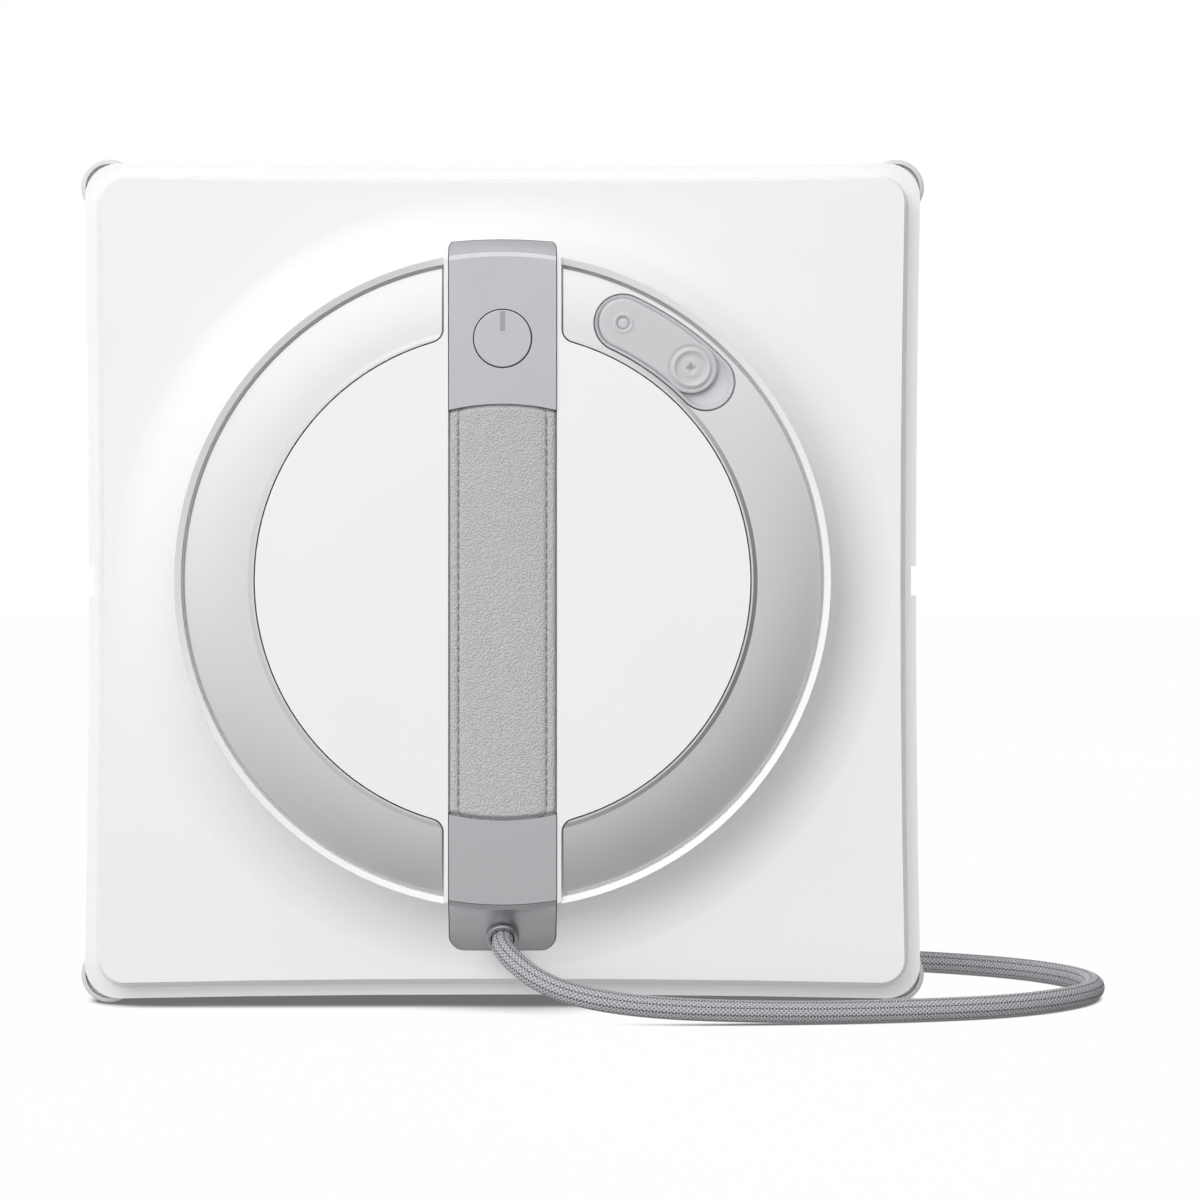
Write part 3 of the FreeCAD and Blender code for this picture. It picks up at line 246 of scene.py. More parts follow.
def plain_look(name, color, rough, spread=0.03, grain=900.0, depth=0.00002, metallic=0.0, wobble=0.04,
               **more):
    """A moulded or machined surface: faint cloudiness, uneven sheen and a fine skin."""
    look = Look(name, Metallic=metallic, **more)
    cloud = look.noise(28.0, 4.0)
    shade = look.blend(look.span(cloud, 0.0, 1.0), tone(color, 1 - spread), tone(color, 1 + spread))
    look.set("Base Color", shade)
    smear = look.noise(75.0, 3.0)
    look.set("Roughness", look.span(smear, rough - wobble, rough + wobble))
    look.bump(look.noise(grain, 2.0), 0.35, depth)
    return look


def painted_recess_shade_look(name, color, rough, reach):
    """Polished metal with painted shade: an AO ramp darkens its base colour deep inside a mouth."""
    look = Look(name, Metallic=0.95)
    painted_shade_mask = look.node("ShaderNodeAmbientOcclusion", {"Distance": reach}, samples=16).outputs["AO"]
    cloud = look.noise(60.0, 3.0)
    shade = look.blend(look.span(cloud, 0.0, 1.0), tone(color, 0.97), tone(color, 1.03))
    # painted shade: the base colour falls to near black where the AO ramp finds close walls, standing in
    # for the mouth's shadow
    look.set("Base Color", look.blend(look.span(painted_shade_mask, 0.0, 1.0, 0.25, 0.62), tone(color, 0.03), shade))
    look.set("Roughness", look.span(look.noise(75.0), rough - 0.03, rough + 0.03))
    look.bump(look.noise(900.0, 2.0), 0.3, 0.000008)
    return look


def leather_look(name, color):
    """Pebbled leather: small raised grains with darker gaps between them."""
    look = Look(name)
    cells = look.node("ShaderNodeTexVoronoi", {"Vector": look.place, "Scale": 1900.0, "Randomness": 1.0},
                      feature="F1").outputs[0]
    pebbles = look.span(cells, 1.0, 0.0, 0.15, 0.75)
    patches = look.noise(700.0, 3.0)
    shade = look.blend(look.span(patches, 0.0, 1.0), tone(color, 0.93), tone(color, 1.06))
    look.set("Base Color", look.blend(pebbles, tone(color, 0.78), shade))
    look.set("Roughness", look.span(pebbles, 0.60, 0.46, 0.0, 1.0))
    height = look.math("ADD", pebbles, look.math("MULTIPLY", patches, 0.15))
    look.bump(height, 1.0, 0.00026)
    return look


def brushed_look(name, color, rough):
    """Steel drawn along one direction."""
    look = Look(name, Metallic=0.95)
    stretched = look.node("ShaderNodeMapping", {"Vector": look.place, "Scale": (1.0, 30.0, 1.0)}).outputs[0]
    lines = look.noise(60.0, 2.0, where=stretched)
    look.set("Base Color", look.blend(look.span(lines, 0.0, 1.0), tone(color, 0.97), tone(color, 1.03)))
    look.set("Roughness", look.span(lines, rough - 0.04, rough + 0.05))
    look.bump(look.noise(1300.0, 2.0), 0.2, 0.00001)
    return look


STRANDS = 16.0                    # of each set, round the sleeve
STRANDS_PER_METRE = 760.0
DOT_ROWS = 9.0
DOTS_PER_METRE = 1150.0


def braid_look(name, color):
    """Woven sleeve: two sets of strands crossing, with rows of dark tracer dots along it."""
    look = Look(name, Roughness=0.72)
    uv = look.node("ShaderNodeTexCoord").outputs["UV"]
    split = look.node("ShaderNodeSeparateXYZ", {0: uv})
    around, along = split.outputs[0], split.outputs[1]
    turn = look.math("MULTIPLY", around, STRANDS)
    run = look.math("MULTIPLY", along, STRANDS_PER_METRE)
    one, two = [look.math("ABSOLUTE", look.math("SINE", look.math("MULTIPLY", crossed, math.pi)))
                for crossed in (look.math("ADD", turn, run), look.math("SUBTRACT", turn, run))]
    weave = look.math("MAXIMUM", one, two)
    crossing = look.math("MULTIPLY", one, two)
    rows = look.math("PINGPONG", look.math("MULTIPLY", look.math("ADD", around, 0.02), DOT_ROWS), 0.5)
    in_row = look.span(rows, 1.0, 0.0, 0.06, 0.15)
    dots = look.math("ABSOLUTE", look.math("SINE", look.math("MULTIPLY", along, math.pi * DOTS_PER_METRE)))
    dot = look.math("MULTIPLY", in_row, look.span(dots, 0.0, 1.0, 0.55, 0.75))
    fibre = look.noise(2600.0, 2.0)
    shade = look.blend(look.span(fibre, 0.0, 1.0), tone(color, 0.88), tone(color, 1.08))
    shade = look.blend(look.span(weave, 0.0, 1.0, 0.60, 0.98), tone(color, 0.42), shade)
    look.set("Base Color", look.blend(dot, shade, tone(color, 0.16)))
    height = look.math("ADD", weave, look.math("MULTIPLY", crossing, 0.5))
    height = look.math("SUBTRACT", height, look.math("MULTIPLY", dot, 0.9))
    look.bump(height, 0.9, 0.0002)
    return look


def fabric_look(name, color):
    """Short-pile microfibre."""
    look = Look(name, Roughness=0.92)
    look.set("Sheen Weight", 0.35)
    cells = {"Vector": look.place, "Scale": 620.0, "Randomness": 0.75}
    loops = look.node("ShaderNodeTexVoronoi", cells).outputs[0]
    fibre = look.noise(1900.0, 3.0)
    patches = look.noise(55.0, 3.0)
    shade = look.blend(look.span(patches, 0.0, 1.0), tone(color, 0.90), tone(color, 1.10))
    look.set("Base Color", look.blend(look.span(loops, 0.0, 1.0, 0.2, 0.75), shade, tone(color, 0.62)))
    height = look.math("ADD", look.math("MULTIPLY", loops, -1.0), look.math("MULTIPLY", fibre, 0.35))
    look.bump(height, 0.8, 0.00055)
    return look


def clear_look(name, color, rough, through):
    """Clear plastic; through is the share of light that passes."""
    look = plain_look(name, color, rough, depth=0.00001)
    look.set("Transmission Weight", through)
    look.set("IOR", 1.45)
    return look


def soft_look(name, color, rough, glow):
    """Milky silicone."""
    look = plain_look(name, color, rough, spread=0.02, grain=1500.0, depth=0.000008)
    look.set("Subsurface Weight", glow)
    look.set("Subsurface Radius", (0.002, 0.002, 0.002))
    look.set("Subsurface Scale", 1.0)
    look.set("Coat Weight", 0.25)
    look.set("Coat Roughness", 0.12)
    return look


def board_look(name, color):
    """Circuit board lacquer over a grid of tracks."""
    look = Look(name, Roughness=0.45)
    bricks = {"Vector": look.place, "Color1": (*tone(color, 1.6), 1), "Color2": (*color, 1),
              "Mortar": (*tone(color, 0.5), 1), "Scale": 260.0, "Mortar Size": 0.03}
    tracks = look.node("ShaderNodeTexBrick", bricks)
    look.set("Base Color", tracks.outputs[0])
    look.bump(look.noise(900.0), 0.3, 0.00003)
    return look


LOOKS = {
    "white_gloss": plain_look("white_gloss", (0.905, 0.905, 0.915), 0.22, spread=0.006, depth=0.000006,
                              wobble=0.02),
    "silver_satin": plain_look("silver_satin", (0.80, 0.80, 0.805), 0.33, spread=0.006, depth=0.000003,
                               metallic=0.9, wobble=0.015),
    "grey_satin": plain_look("grey_satin", (0.60, 0.595, 0.62), 0.36, spread=0.01, depth=0.00001,
                             metallic=0.85),
    "strap_leather": leather_look("strap_leather", (0.675, 0.675, 0.695)),
    "button_silver": plain_look("button_silver", (0.61, 0.605, 0.63), 0.34, spread=0.01, depth=0.000008,
                                metallic=0.85),
    "light_bar": plain_look("light_bar", (0.36, 0.36, 0.37), 0.30, spread=0.02),
    "silicone": soft_look("silicone", (0.63, 0.63, 0.645), 0.20, 0.30),
    "seat_grey": plain_look("seat_grey", (0.62, 0.61, 0.645), 0.30, spread=0.008, depth=0.000006),
    "roller_grey": plain_look("roller_grey", (0.72, 0.72, 0.735), 0.48, spread=0.02, depth=0.00002),
    "frame_grey": plain_look("frame_grey", (0.30, 0.31, 0.33), 0.46, spread=0.03, depth=0.00003),
    "pad_fabric": fabric_look("pad_fabric", (0.42, 0.45, 0.50)),
    "seal_rubber": plain_look("seal_rubber", (0.045, 0.045, 0.05), 0.58, spread=0.08, depth=0.00003),
    "belt_rubber": plain_look("belt_rubber", (0.04, 0.04, 0.045), 0.66, spread=0.10, depth=0.00004),
    "wheel_plastic": plain_look("wheel_plastic", (0.70, 0.70, 0.71), 0.42, spread=0.02),
    "steel": brushed_look("steel", (0.62, 0.62, 0.64), 0.28),
    # eyelet_metal: its mouth is darkened by painted shade from an AO ramp
    "eyelet_metal": painted_recess_shade_look("eyelet_metal", (0.46, 0.46, 0.48), 0.20, 0.003),
    "cord_braid": braid_look("cord_braid", (0.56, 0.57, 0.595)),
    "plug_black": plain_look("plug_black", (0.055, 0.055, 0.06), 0.45, spread=0.08, depth=0.00003),
    "inner_black": plain_look("inner_black", (0.05, 0.05, 0.055), 0.50, spread=0.08, depth=0.00003),
    "clear_tank": clear_look("clear_tank", (0.80, 0.86, 0.90), 0.12, 0.85),
    "hose_clear": clear_look("hose_clear", (0.80, 0.82, 0.84), 0.25, 0.6),
    "board_green": board_look("board_green", (0.03, 0.16, 0.09)),
    "battery_wrap": plain_look("battery_wrap", (0.07, 0.13, 0.28), 0.35, spread=0.06, depth=0.00002),
    "thread": plain_look("thread", (0.22, 0.22, 0.23), 0.75, spread=0.08, grain=4000.0, depth=0.00003),
}


def dress(obj, look):
    obj.data.materials.clear()
    obj.data.materials.append(LOOKS[look].mat)


for part in frame["record"]["subparts"]:
    dress(nodes[part["node"]], part["material_slot"])
dress(cord, "cord_braid")


# ------------------------------------------------------------------ strap
STRAP_TOP = MID_MM + 48.8            # middle of the arched cap edges, millimetres above the floor
STRAP_LOW = MID_MM - 66.2
STRAP_MID = 0.5 * (STRAP_TOP + STRAP_LOW)
ARCH_R = 65.3
SEAM = 12.15
EDGE_RUN = 1.5                       # how near the cap the leather dips under it
EDGE_DIP = 1.7
SHOULDER = 2.0                       # rounding of the middle panel beside the cap
FINE_RUN = 8.0                       # length next to the cap that has closer rows
TUCK_IN = 0.16                       # how much narrower the leather is under the cap
STRAP_BACK = -27.12
STITCH_PITCH, STITCH_LONG, STITCH_R = 2.9, 1.95, 0.26
STITCH_FACE = -29.02
# half of the strap's front, from the side to the middle: distance from the middle, front face
PROFILE = [
    (14.42, -27.12), (14.55, -27.60), (14.56, -28.30), (14.48, -28.85), (14.28, -29.20), (13.95, -29.40),
    (13.5, -29.48), (13.0, -29.48), (12.6, -29.42), (12.35, -29.22), (12.22, -28.85), (12.08, -28.85),
    (11.95, -29.22), (11.7, -29.50), (11.35, -29.64), (10.9, -29.72), (10.3, -29.78), (9.4, -29.83),
    (8.2, -29.88), (6.6, -29.92), (4.8, -29.96), (2.6, -29.99), (0.0, -30.0),
]


def arch(x, edge, sign):
    """Height of an arched cap edge at x."""
    return edge - sign * (ARCH_R - math.sqrt(ARCH_R ** 2 - x * x))


def edge_dip(left):
    """How far the leather sinks at a distance from the cap."""
    return EDGE_DIP * ease(clamp(1 - left / EDGE_RUN))


def shoulder(left):
    """How far the seam turns in at a distance from the cap."""
    k = clamp((SHOULDER - left) / SHOULDER)
    return 0.6 * SHOULDER * (1 - math.sqrt(max(0.0, 1 - k * k)))


def add_stitch(verts, faces, x0, y0, z0):
    """One stitch: a short rounded thread that dives in at both ends."""
    around, along = 8, 6
    base = len(verts)
    for i in range(along + 1):
        t = i / along
        size = STITCH_R * math.sqrt(max(0.02, 1 - (2 * t - 1) ** 4))
        sink = 0.30 * (2 * t - 1) ** 4
        for j in range(around):
            a = 2 * math.pi * j / around
            verts.append(Vector((x0 + size * math.cos(a), y0 + sink + size * 0.8 * math.sin(a),
                                 z0 + (t - 0.5) * STITCH_LONG)) * MM)
    for i in range(along):
        for j in range(around):
            a, b = base + i * around + j, base + i * around + (j + 1) % around
            faces.append((a, b, b + around, a + around))
    faces.append(tuple(base + j for j in range(around))[::-1])
    faces.append(tuple(base + along * around + j for j in range(around)))


def strap_half(name, sign):
    """The strap from its middle to the upper (+1) or lower (-1) cap, and a tab under that cap."""
    edge = STRAP_TOP if sign > 0 else STRAP_LOW
    half = [(-x, y) for x, y in PROFILE] + [(x, y) for x, y in reversed(PROFILE[:-1])]
    reach = abs(edge - STRAP_MID)
    coarse = reach - FINE_RUN
    lefts = [reach - i / 90 * coarse for i in range(90)] + [FINE_RUN - FINE_RUN * i / 24 for i in range(24)]
    lefts += [0.0, -0.25, -0.6, -1.1, -1.8, -2.8, -4.0]      # distances to the cap, negative under it
    verts = []
    for left in lefts:
        share = clamp(1 - left / reach)
        past = sign * max(0.0, -left)
        under = clamp(-left / 1.2)

        def add(x, y):
            top = arch(x, edge, sign)
            verts.append(Vector((x, y, STRAP_MID + (top - STRAP_MID) * share + past)) * MM)

        for x, y in half:
            if abs(x) < SEAM + 0.5:
                x = x * (SEAM - shoulder(left)) / SEAM
            height = min(STRAP_BACK - 0.3, y + edge_dip(left))
            height += under * max(0.0, -27.35 - height)
            add(x * (1 - TUCK_IN * under), height)
        for x in (14.2, 7.0, 0.0, -7.0, -14.2):
            add(x * (1 - TUCK_IN * under), STRAP_BACK + under * 1.9)
    ring = len(half) + 5
    faces = []
    for i in range(len(lefts) - 1):
        for k in range(ring):
            a, b = i * ring + k, i * ring + (k + 1) % ring
            quad = (a, b, b + ring, a + ring)
            faces.append(quad if sign < 0 else quad[::-1])
    first = tuple(range(ring))
    last = tuple((len(lefts) - 1) * ring + k for k in range(ring))
    faces.append(last if sign < 0 else last[::-1])
    faces.append(first[::-1] if sign < 0 else first)
    leather = len(faces)
    for side in (-1, 1):
        at = 0.5 * STITCH_PITCH
        while at < reach - 1.6:
            left = reach - at
            x0 = side * (SEAM - shoulder(left))
            z0 = STRAP_MID + (arch(x0, edge, sign) - STRAP_MID) * at / reach
            add_stitch(verts, faces, x0, STITCH_FACE + edge_dip(left), z0)
            at += STITCH_PITCH
    obj = new_mesh(name, verts, faces)
    for line_edge in obj.data.edges:
        line_edge.use_edge_sharp = max(line_edge.vertices) < ring
    dress(obj, "strap_leather")
    obj.data.materials.append(LOOKS["thread"].mat)
    for i, polygon in enumerate(obj.data.polygons):
        if i >= leather:
            polygon.material_index = 1
    return obj


strap_upper = strap_half("strap_upper", 1)
strap_lower = strap_half("strap_lower", -1)
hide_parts("strap_grip", "strap_end_upper")
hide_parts("strap_grip", "strap_end_lower")
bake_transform(strap_upper)
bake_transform(strap_lower)


# ------------------------------------------------------------------ filler flap
FILL_R = 78.7                            # the filler's middle line round the disc
POST, HINGE, PLUG = 64.9, 60.5, 48.4     # angles round the disc, degrees
TRAY_END = 44.4
BAND, HEAD = 6.8, 7.05                   # half width of the flap, radius of its head
FLAP_FACE, FLAP_BACK = -27.2, -25.8
EDGE_ROUND, EDGE_DROP = 0.7, 0.45
EYE_R, EYE_DEEP = 1.85, -0.6             # opening round the post
TRAY_HALF = 7.85
TRAY_FLOOR = -25.5
TRAY_UNDER = -24.8
NECK_IN, NECK_OUT, NECK_END = 4.4, 6.0, -21.8
RIM = 0.28                               # rounded top of the tray's wall
WALL_SLOPE = 1.15                        # how far the wall leans in


def round_disc(radius, angle):
    """A point in front of the robot, by its distance and angle from the disc's centre."""
    a = math.radians(angle)
    return radius * math.cos(a), radius * math.sin(a) + MID_MM


def swell(r, at, width, height):
    """A soft ridge (or groove) round a centre."""
    return height * ease(max(0.0, 1 - abs(r - at) / width))


def flap_relief(x, z, edge, plug, post):
    """Height of the flap's face at a point that lies edge millimetres from its outline."""
    in_head = math.hypot(x - plug[0], z - plug[1])
    in_post = math.hypot(x - post[0], z - post[1])
    if in_post < EYE_R:
        return EYE_DEEP
    star = 1.0 + 0.35 * math.cos(4 * math.atan2(z - plug[1], x - plug[0]))
    height = -EDGE_DROP * (1 - clamp(edge / EDGE_ROUND)) ** 2
    height += swell(in_head, 4.9, 0.85, 0.55) + swell(in_head, 5.95, 0.6, -0.38)
    height += swell(in_head, 3.3, 1.3, -0.18) + swell(in_post, 2.35, 0.6, 0.32)
    return height - 1.3 * max(0.0, 1 - in_head / star) ** 0.5


def ring_of(centre, radius, y, count):
    """Points of a circle that faces the front."""
    turns = [2 * math.pi * k / count for k in range(count)]
    return [Vector((centre[0] + radius * math.cos(a), y, centre[1] + radius * math.sin(a))) * MM
            for a in turns]


def flap_mesh(name):
    """Silicone flap with its plug: a curved tongue, a ringed head, and an eye round the post."""
    plug, post = round_disc(FILL_R, PLUG), round_disc(FILL_R, POST)
    run = math.radians(POST - PLUG) * FILL_R
    start, end = -HEAD, run + BAND
    rows, across = 150, 60
    verts, faces = [], []
    grid = []
    for i in range(rows + 1):
        s = start + (end - start) * 0.5 * (1 - math.cos(math.pi * i / rows))
        wide = math.sqrt(max(0.0, HEAD ** 2 - s * s)) if abs(s) < HEAD else 0.0
        if 0 <= s <= run:
            wide = max(wide, BAND)
        elif s > run:
            wide = math.sqrt(max(0.0, BAND ** 2 - (s - run) ** 2))
        wide = max(wide, 0.02)
        angle = PLUG + math.degrees(s / FILL_R)
        top, low = [], []
        for j in range(across + 1):
            t = math.sin(math.pi * (j / across - 0.5))
            x, z = round_disc(FILL_R + t * wide, angle)
            edge = (1 - abs(t)) * wide
            if s < 0:
                edge = HEAD - math.hypot(x - plug[0], z - plug[1])
            elif s > run:
                edge = BAND - math.hypot(x - post[0], z - post[1])
            top.append(len(verts))
            verts.append(Vector((x, FLAP_FACE - flap_relief(x, z, edge, plug, post), z)) * MM)
            low.append(len(verts))
            verts.append(Vector((x, FLAP_BACK, z)) * MM)
        grid.append((top, low))
    for i in range(rows):
        (a, c), (b, d) = grid[i], grid[i + 1]
        for j in range(across):
            faces.append((a[j], a[j + 1], b[j + 1], b[j]))
            faces.append((c[j], d[j], d[j + 1], c[j + 1]))
        faces.append((a[0], b[0], d[0], c[0]))
        faces.append((a[-1], c[-1], d[-1], b[-1]))
    for top, low in (grid[0], grid[-1]):
        for j in range(across):
            quad = (top[j], low[j], low[j + 1], top[j + 1])
            faces.append(quad if top is grid[0][0] else quad[::-1])
    count = 48
    base = len(verts)
    plug_shape = [(4.0, -0.3), (4.1, 0.0), (3.9, 0.5), (2.8, 2.7), (2.5, 3.0)]      # radius, depth
    for radius, depth in plug_shape:
        verts += ring_of(plug, radius, FLAP_BACK + depth, count)
    for r in range(len(plug_shape) - 1):
        for k in range(count):
            m = (k + 1) % count
            faces.append((base + r * count + k, base + r * count + m, base + (r + 1) * count + m,
                          base + (r + 1) * count + k))
    faces.append(tuple(base + k for k in range(count))[::-1])
    faces.append(tuple(base + (len(plug_shape) - 1) * count + k for k in range(count)))
    return new_mesh(name, verts, faces)


def ring_face(x, z):
    """Depth of the ring trim's face at a point."""
    k = (math.hypot(x, z - MID_MM) - 70.5) / 17.6
    return -28.05 + 0.75 * k + 1.15 * k * k


def pill(half, low, high, count=80):
    """Outline of the curved pocket, anticlockwise from its lower outer corner."""
    points = []
    for side, start, end in ((1, low, high), (-1, high, low)):
        for i in range(count):
            points.append(round_disc(FILL_R + side * half, start + (end - start) * i / count))
        x, z = round_disc(FILL_R, end)
        for i in range(count // 2):
            a = math.radians(end) + math.pi * 2 * i / count
            points.append((x + side * half * math.cos(a), z + side * half * math.sin(a)))
    return points


def seat_mesh(name):
    """Tray under the flap, with a sloped wall, the filler neck and the flap's post."""
    plug, post = round_disc(FILL_R, PLUG), round_disc(FILL_R, POST)
    outer = pill(TRAY_HALF, TRAY_END, POST)
    inner = pill(TRAY_HALF - 1.55, TRAY_END, POST)
    angles = [math.atan2(z - plug[1], x - plug[0]) for x, z in inner]
    loops = [[(x, TRAY_UNDER, z) for x, z in outer], [(x, TRAY_UNDER - 0.8, z) for x, z in outer]]
    for inset, below in ((0.0, 0.30), (0.10, 0.16), (RIM, 0.12)):
        loops.append([(x, ring_face(x, z) + below, z) for x, z in pill(TRAY_HALF - inset, TRAY_END, POST)])
    rim = loops[-1]
    for t in (0.45, 0.85, 1.0):
        near = pill(TRAY_HALF - RIM - WALL_SLOPE * t, TRAY_END, POST)
        loops.append([(x, rim[k][1] + (TRAY_FLOOR - 0.12 - rim[k][1]) * t, z)
                      for k, (x, z) in enumerate(near)])
    loops.append([(x, TRAY_FLOOR, z) for x, z in inner])
    for radius, y in ((NECK_IN + 0.3, TRAY_FLOOR), (NECK_IN, TRAY_FLOOR + 0.3), (NECK_IN, NECK_END),
                      (NECK_OUT, NECK_END), (NECK_OUT, TRAY_UNDER)):
        loops.append([(plug[0] + radius * math.cos(a), y, plug[1] + radius * math.sin(a)) for a in angles])
    count = len(inner)
    verts = [Vector(v) * MM for loop in loops for v in loop]
    faces = []
    for r in range(len(loops)):
        n = (r + 1) % len(loops)
        for k in range(count):
            m = (k + 1) % count
            faces.append((r * count + k, n * count + k, n * count + m, r * count + m))
    base, around = len(verts), 40
    post_shape = [(1.55, TRAY_FLOOR + 0.2), (1.55, -26.75), (1.45, -26.95), (1.2, -27.05)]      # radius, y
    for radius, y in post_shape:
        verts += ring_of(post, radius, y, around)
    for r in range(len(post_shape) - 1):
        for k in range(around):
            m = (k + 1) % around
            faces.append((base + r * around + k, base + (r + 1) * around + k, base + (r + 1) * around + m,
                          base + r * around + m))
    faces.append(tuple(base + k for k in range(around)))
    faces.append(tuple(base + (len(post_shape) - 1) * around + k for k in range(around))[::-1])
    return new_mesh(name, verts, faces)


seat = seat_mesh("filler_tray")
dress(seat, "seat_grey")
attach(seat, "robot")
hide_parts("filler_seat")
flap = flap_mesh("silicone_flap")
dress(flap, "silicone")
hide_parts("filler_flap", "filler_anchor")
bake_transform(flap)


# ------------------------------------------------------------------ cleaning pad
PAD_WIDE = 27.5 * MM                 # how far the band reaches in from the pad plate's edge
PAD_ROLL = 3.0 * MM                  # height of the band's edges
QUILT = 0.22 * MM
QUILTS = 60


def square_point(half, corner, s):
    """Point s (0 to 1) of the way round a rounded square."""
    straight = 2 * (half - corner)
    arc = math.pi / 2 * corner
    run = s * 4 * (straight + arc)
    side = min(3, int(run / (straight + arc)))
    run -= side * (straight + arc)
    if run <= straight:
        x, z = half, -half + corner + run
    else:
        a = (run - straight) / corner
        x, z = half - corner + corner * math.cos(a), half - corner + corner * math.sin(a)
    c, d = math.cos(side * math.pi / 2), math.sin(side * math.pi / 2)
    return Vector((x * c - z * d, 0, x * d + z * c))


def ring_pad(name):
    """A puffy square ring of microfibre, fuller in the middle of its band than at its edges."""
    low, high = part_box("cleaning_pad")
    outer = (high.x - low.x) / 2
    inner = (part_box("pad_plate")[1].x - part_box("pad_plate")[0].x) / 2 - PAD_WIDE
    centre = Vector(((low.x + high.x) / 2, 0, (low.z + high.z) / 2))
    front, back = low.y, high.y
    count, bands = 240, 28
    verts, faces = [], []
    for i in range(count):
        s = i / count
        a = square_point(outer, 10 * MM, s)
        b = square_point(inner, 13 * MM, s)
        for j in range(bands + 1):
            t = j / bands
            bulge = (1 - (2 * t - 1) ** 6) ** 0.5 if 0 < t < 1 else 0.0
            quilt = abs(QUILT * math.sin(2 * math.pi * s * QUILTS) * bulge)
            p = a.lerp(b, t)
            y = front + PAD_ROLL + (back - front - PAD_ROLL) * bulge - quilt
            verts.append(centre + Vector((p.x, y, p.z)))
        for t in (0.985, 0.015):
            p = a.lerp(b, t)
            verts.append(centre + Vector((p.x, front + 0.2 * MM, p.z)))
    ring = bands + 3
    for i in range(count):
        j = (i + 1) % count
        for k in range(ring):
            m = (k + 1) % ring
            faces.append((i * ring + k, j * ring + k, j * ring + m, i * ring + m))
    return new_mesh(name, verts, faces)


pad = ring_pad("microfibre_pad")
dress(pad, "pad_fabric")
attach(pad, "robot")
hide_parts("cleaning_pad")


# ------------------------------------------------------------------ floor and light
def floor_look():
    """Pale floor with a painted contact shadow, darker only where the robot all but touches it."""
    look = Look("floor")
    # painted contact shadow: an AO ramp darkens the floor's glow near the robot and the cord
    near = look.node("ShaderNodeAmbientOcclusion", {"Distance": 0.030}, samples=32).outputs["AO"]
    painted_shade_mask = look.span(near, 0.0, 1.0, 0.20, 0.46)
    wash = look.blend(look.noise(3.0), (0.985, 0.985, 0.985), (1.0, 1.0, 1.0))
    shade = look.blend(painted_shade_mask, (0.16, 0.16, 0.165), wash)
    glow = look.node("ShaderNodeEmission", {"Color": shade, "Strength": 1.0})
    look.tree.links.new(glow.outputs[0], look.out.inputs[0])
    return look


floor = new_mesh("floor", [(-12, -12, -0.0002), (12, -12, -0.0002), (12, 12, -0.0002), (-12, 12, -0.0002)],
                 [(0, 1, 2, 3)], smooth=False)
LOOKS["floor"] = floor_look()
dress(floor, "floor")
floor.visible_glossy = False
floor.visible_diffuse = False

world = bpy.data.worlds.new("studio")
scene.world = world
world.use_nodes = True
tree = world.node_tree
tree.nodes.clear()


def sky(kind, inputs=None, **props):
    """A node of the world's tree."""
    made = tree.nodes.new(kind)
    for key, value in props.items():
        setattr(made, key, value)
    for key, value in (inputs or {}).items():
        if isinstance(value, bpy.types.NodeSocket):
            tree.links.new(value, made.inputs[key])
        else:
            made.inputs[key].default_value = value
    return made


towards = sky("ShaderNodeTexCoord").outputs["Generated"]
key_side = Vector((-0.35, -0.40, 0.85)).normalized()
facing = sky("ShaderNodeVectorMath", {0: towards, 1: key_side}, operation="DOT_PRODUCT").outputs["Value"]
share = sky("ShaderNodeMapRange", {0: facing, 1: -1.0, 2: 1.0, 3: 0.0, 4: 1.0}).outputs[0]
ramp = sky("ShaderNodeValToRGB", {0: share})
# brightness of the front of the studio, by the cosine to the key side
stops = [(-1.0, 0.26), (0.0, 0.30), (0.10, 0.38), (0.27, 0.60), (0.40, 0.84), (0.53, 1.02), (0.72, 1.30),
         (1.0, 1.50)]
scale = 1.6                          # keeps the ramp's colours under 1
ramp.color_ramp.elements[0].position = 0.0
ramp.color_ramp.elements[1].position = 1.0
for at, level in stops[1:-1]:
    ramp.color_ramp.elements.new((at + 1) / 2)
for element, (at, level) in zip(ramp.color_ramp.elements, stops):
    element.color = (level / scale, level / scale, level / scale, 1)
axes = sky("ShaderNodeSeparateXYZ", {0: towards})
upright = sky("ShaderNodeMath", {0: axes.outputs[2], 1: 2.0}, operation="POWER").outputs[0]
flank = sky("ShaderNodeVectorMath", {0: towards, 1: (-0.33, 0.0, 0.08)}, operation="DOT_PRODUCT")
flank = flank.outputs["Value"]
flank = sky("ShaderNodeMath", {0: upright, 1: 0.15, 2: flank}, operation="MULTIPLY_ADD").outputs[0]
flank = sky("ShaderNodeMath", {0: flank, 1: 0.43}, operation="ADD").outputs[0]
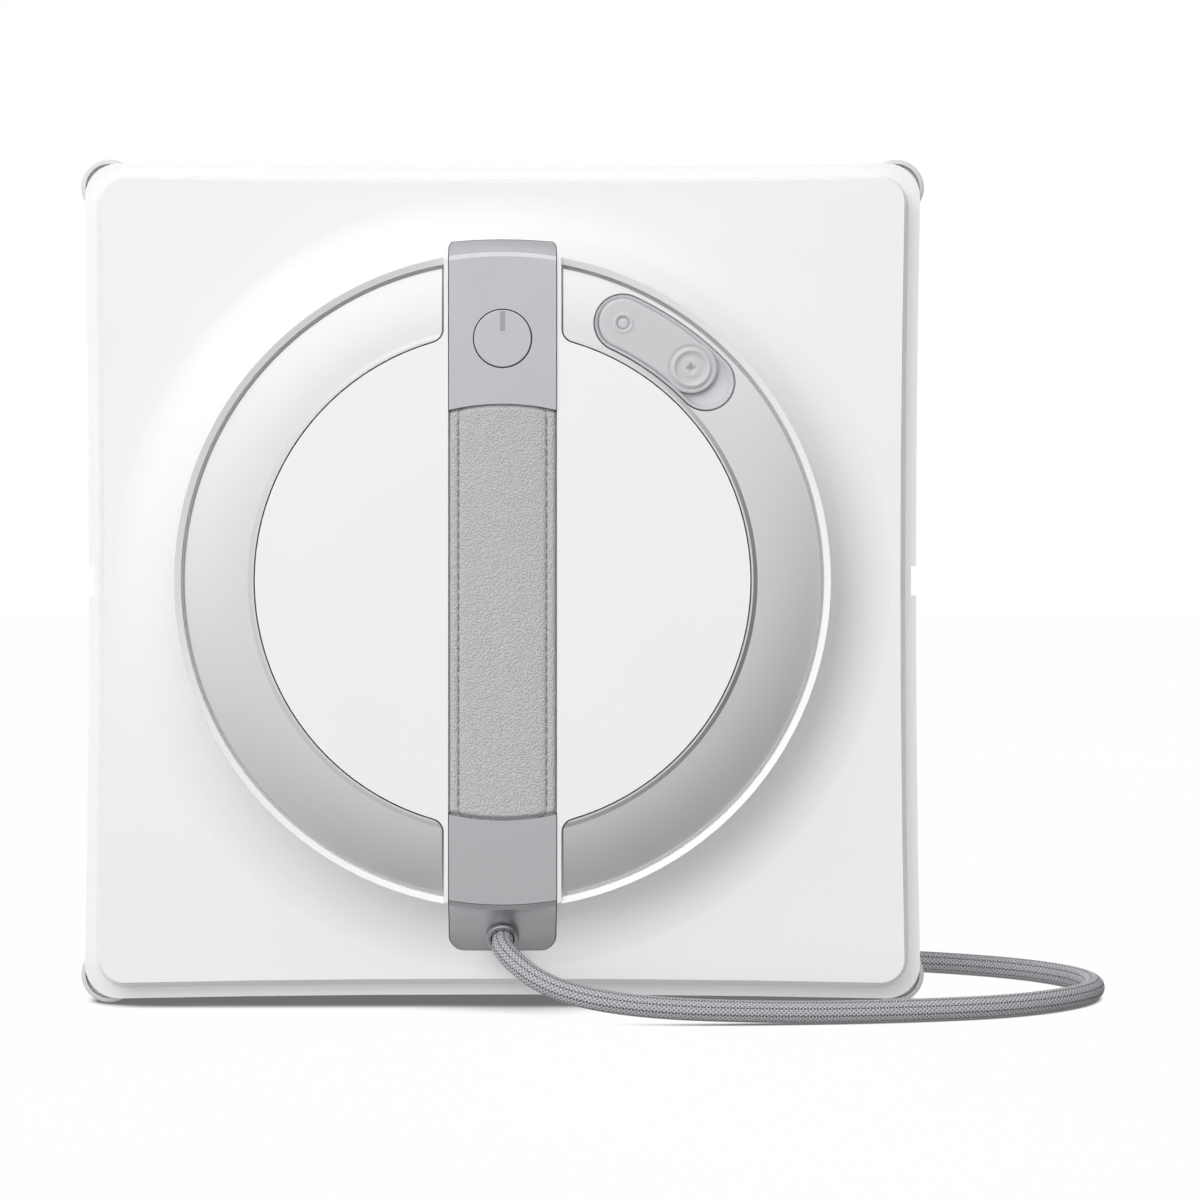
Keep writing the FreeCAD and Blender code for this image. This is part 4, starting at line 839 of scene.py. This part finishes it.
above = sky("ShaderNodeMath", {0: axes.outputs[2], 1: 0.0}, operation="MAXIMUM").outputs[0]
lean = sky("ShaderNodeMath", {0: above, 1: -0.32, 2: axes.outputs[1]}, operation="MULTIPLY_ADD").outputs[0]
front = sky("ShaderNodeMapRange", {0: lean, 1: -0.35, 2: -0.75, 3: 0.0, 4: 1.0},
            interpolation_type="SMOOTHSTEP").outputs[0]
behind = sky("ShaderNodeMapRange", {0: axes.outputs[1], 1: 0.80, 2: 0.97, 3: 0.0, 4: 1.6}).outputs[0]
level = sky("ShaderNodeMath", {0: ramp.outputs[0], 1: scale}, operation="MULTIPLY").outputs[0]
level = sky("ShaderNodeMix", {0: front, 2: flank, 3: level}, data_type="FLOAT").outputs[0]
level = sky("ShaderNodeMath", {0: level, 1: behind}, operation="ADD").outputs[0]
light = sky("ShaderNodeBackground", {0: (1, 1, 1, 1), 1: level})
seen = sky("ShaderNodeBackground", {0: (1, 1, 1, 1), 1: 1.0})
path_kind = sky("ShaderNodeLightPath")
to_camera = path_kind.outputs["Is Camera Ray"]
mixed = sky("ShaderNodeMixShader", {0: to_camera, 1: light.outputs[0], 2: seen.outputs[0]})
tree.links.new(mixed.outputs[0], sky("ShaderNodeOutputWorld").inputs[0])


def soft_box(name, place, aim, size, power, mirrored=True):
    """A round lamp; mirrored says whether it shows in glossy surfaces."""
    data = bpy.data.lights.new(name, "AREA")
    data.shape = "DISK"
    data.size = size
    data.energy = power
    lamp = bpy.data.objects.new(name, data)
    lamp.location = place
    lamp.visible_glossy = mirrored
    lamp.rotation_euler = (Vector(aim) - Vector(place)).to_track_quat("-Z", "Y").to_euler()
    scene.collection.objects.link(lamp)


soft_box("key", (-0.50, -1.00, 0.68), (0, 0, MID), 0.55, 2.5, mirrored=False)
soft_box("back_fill", (0.0, 1.2, 0.2), (0, 0, MID), 0.5, 4.0)
soft_box("wash", (0.35, -1.9, 0.22), (0, 0, MID), 0.9, 3.6, mirrored=False)
scene.view_settings.view_transform = "Standard"
scene.view_settings.look = "None"

bpy.context.view_layer.update()
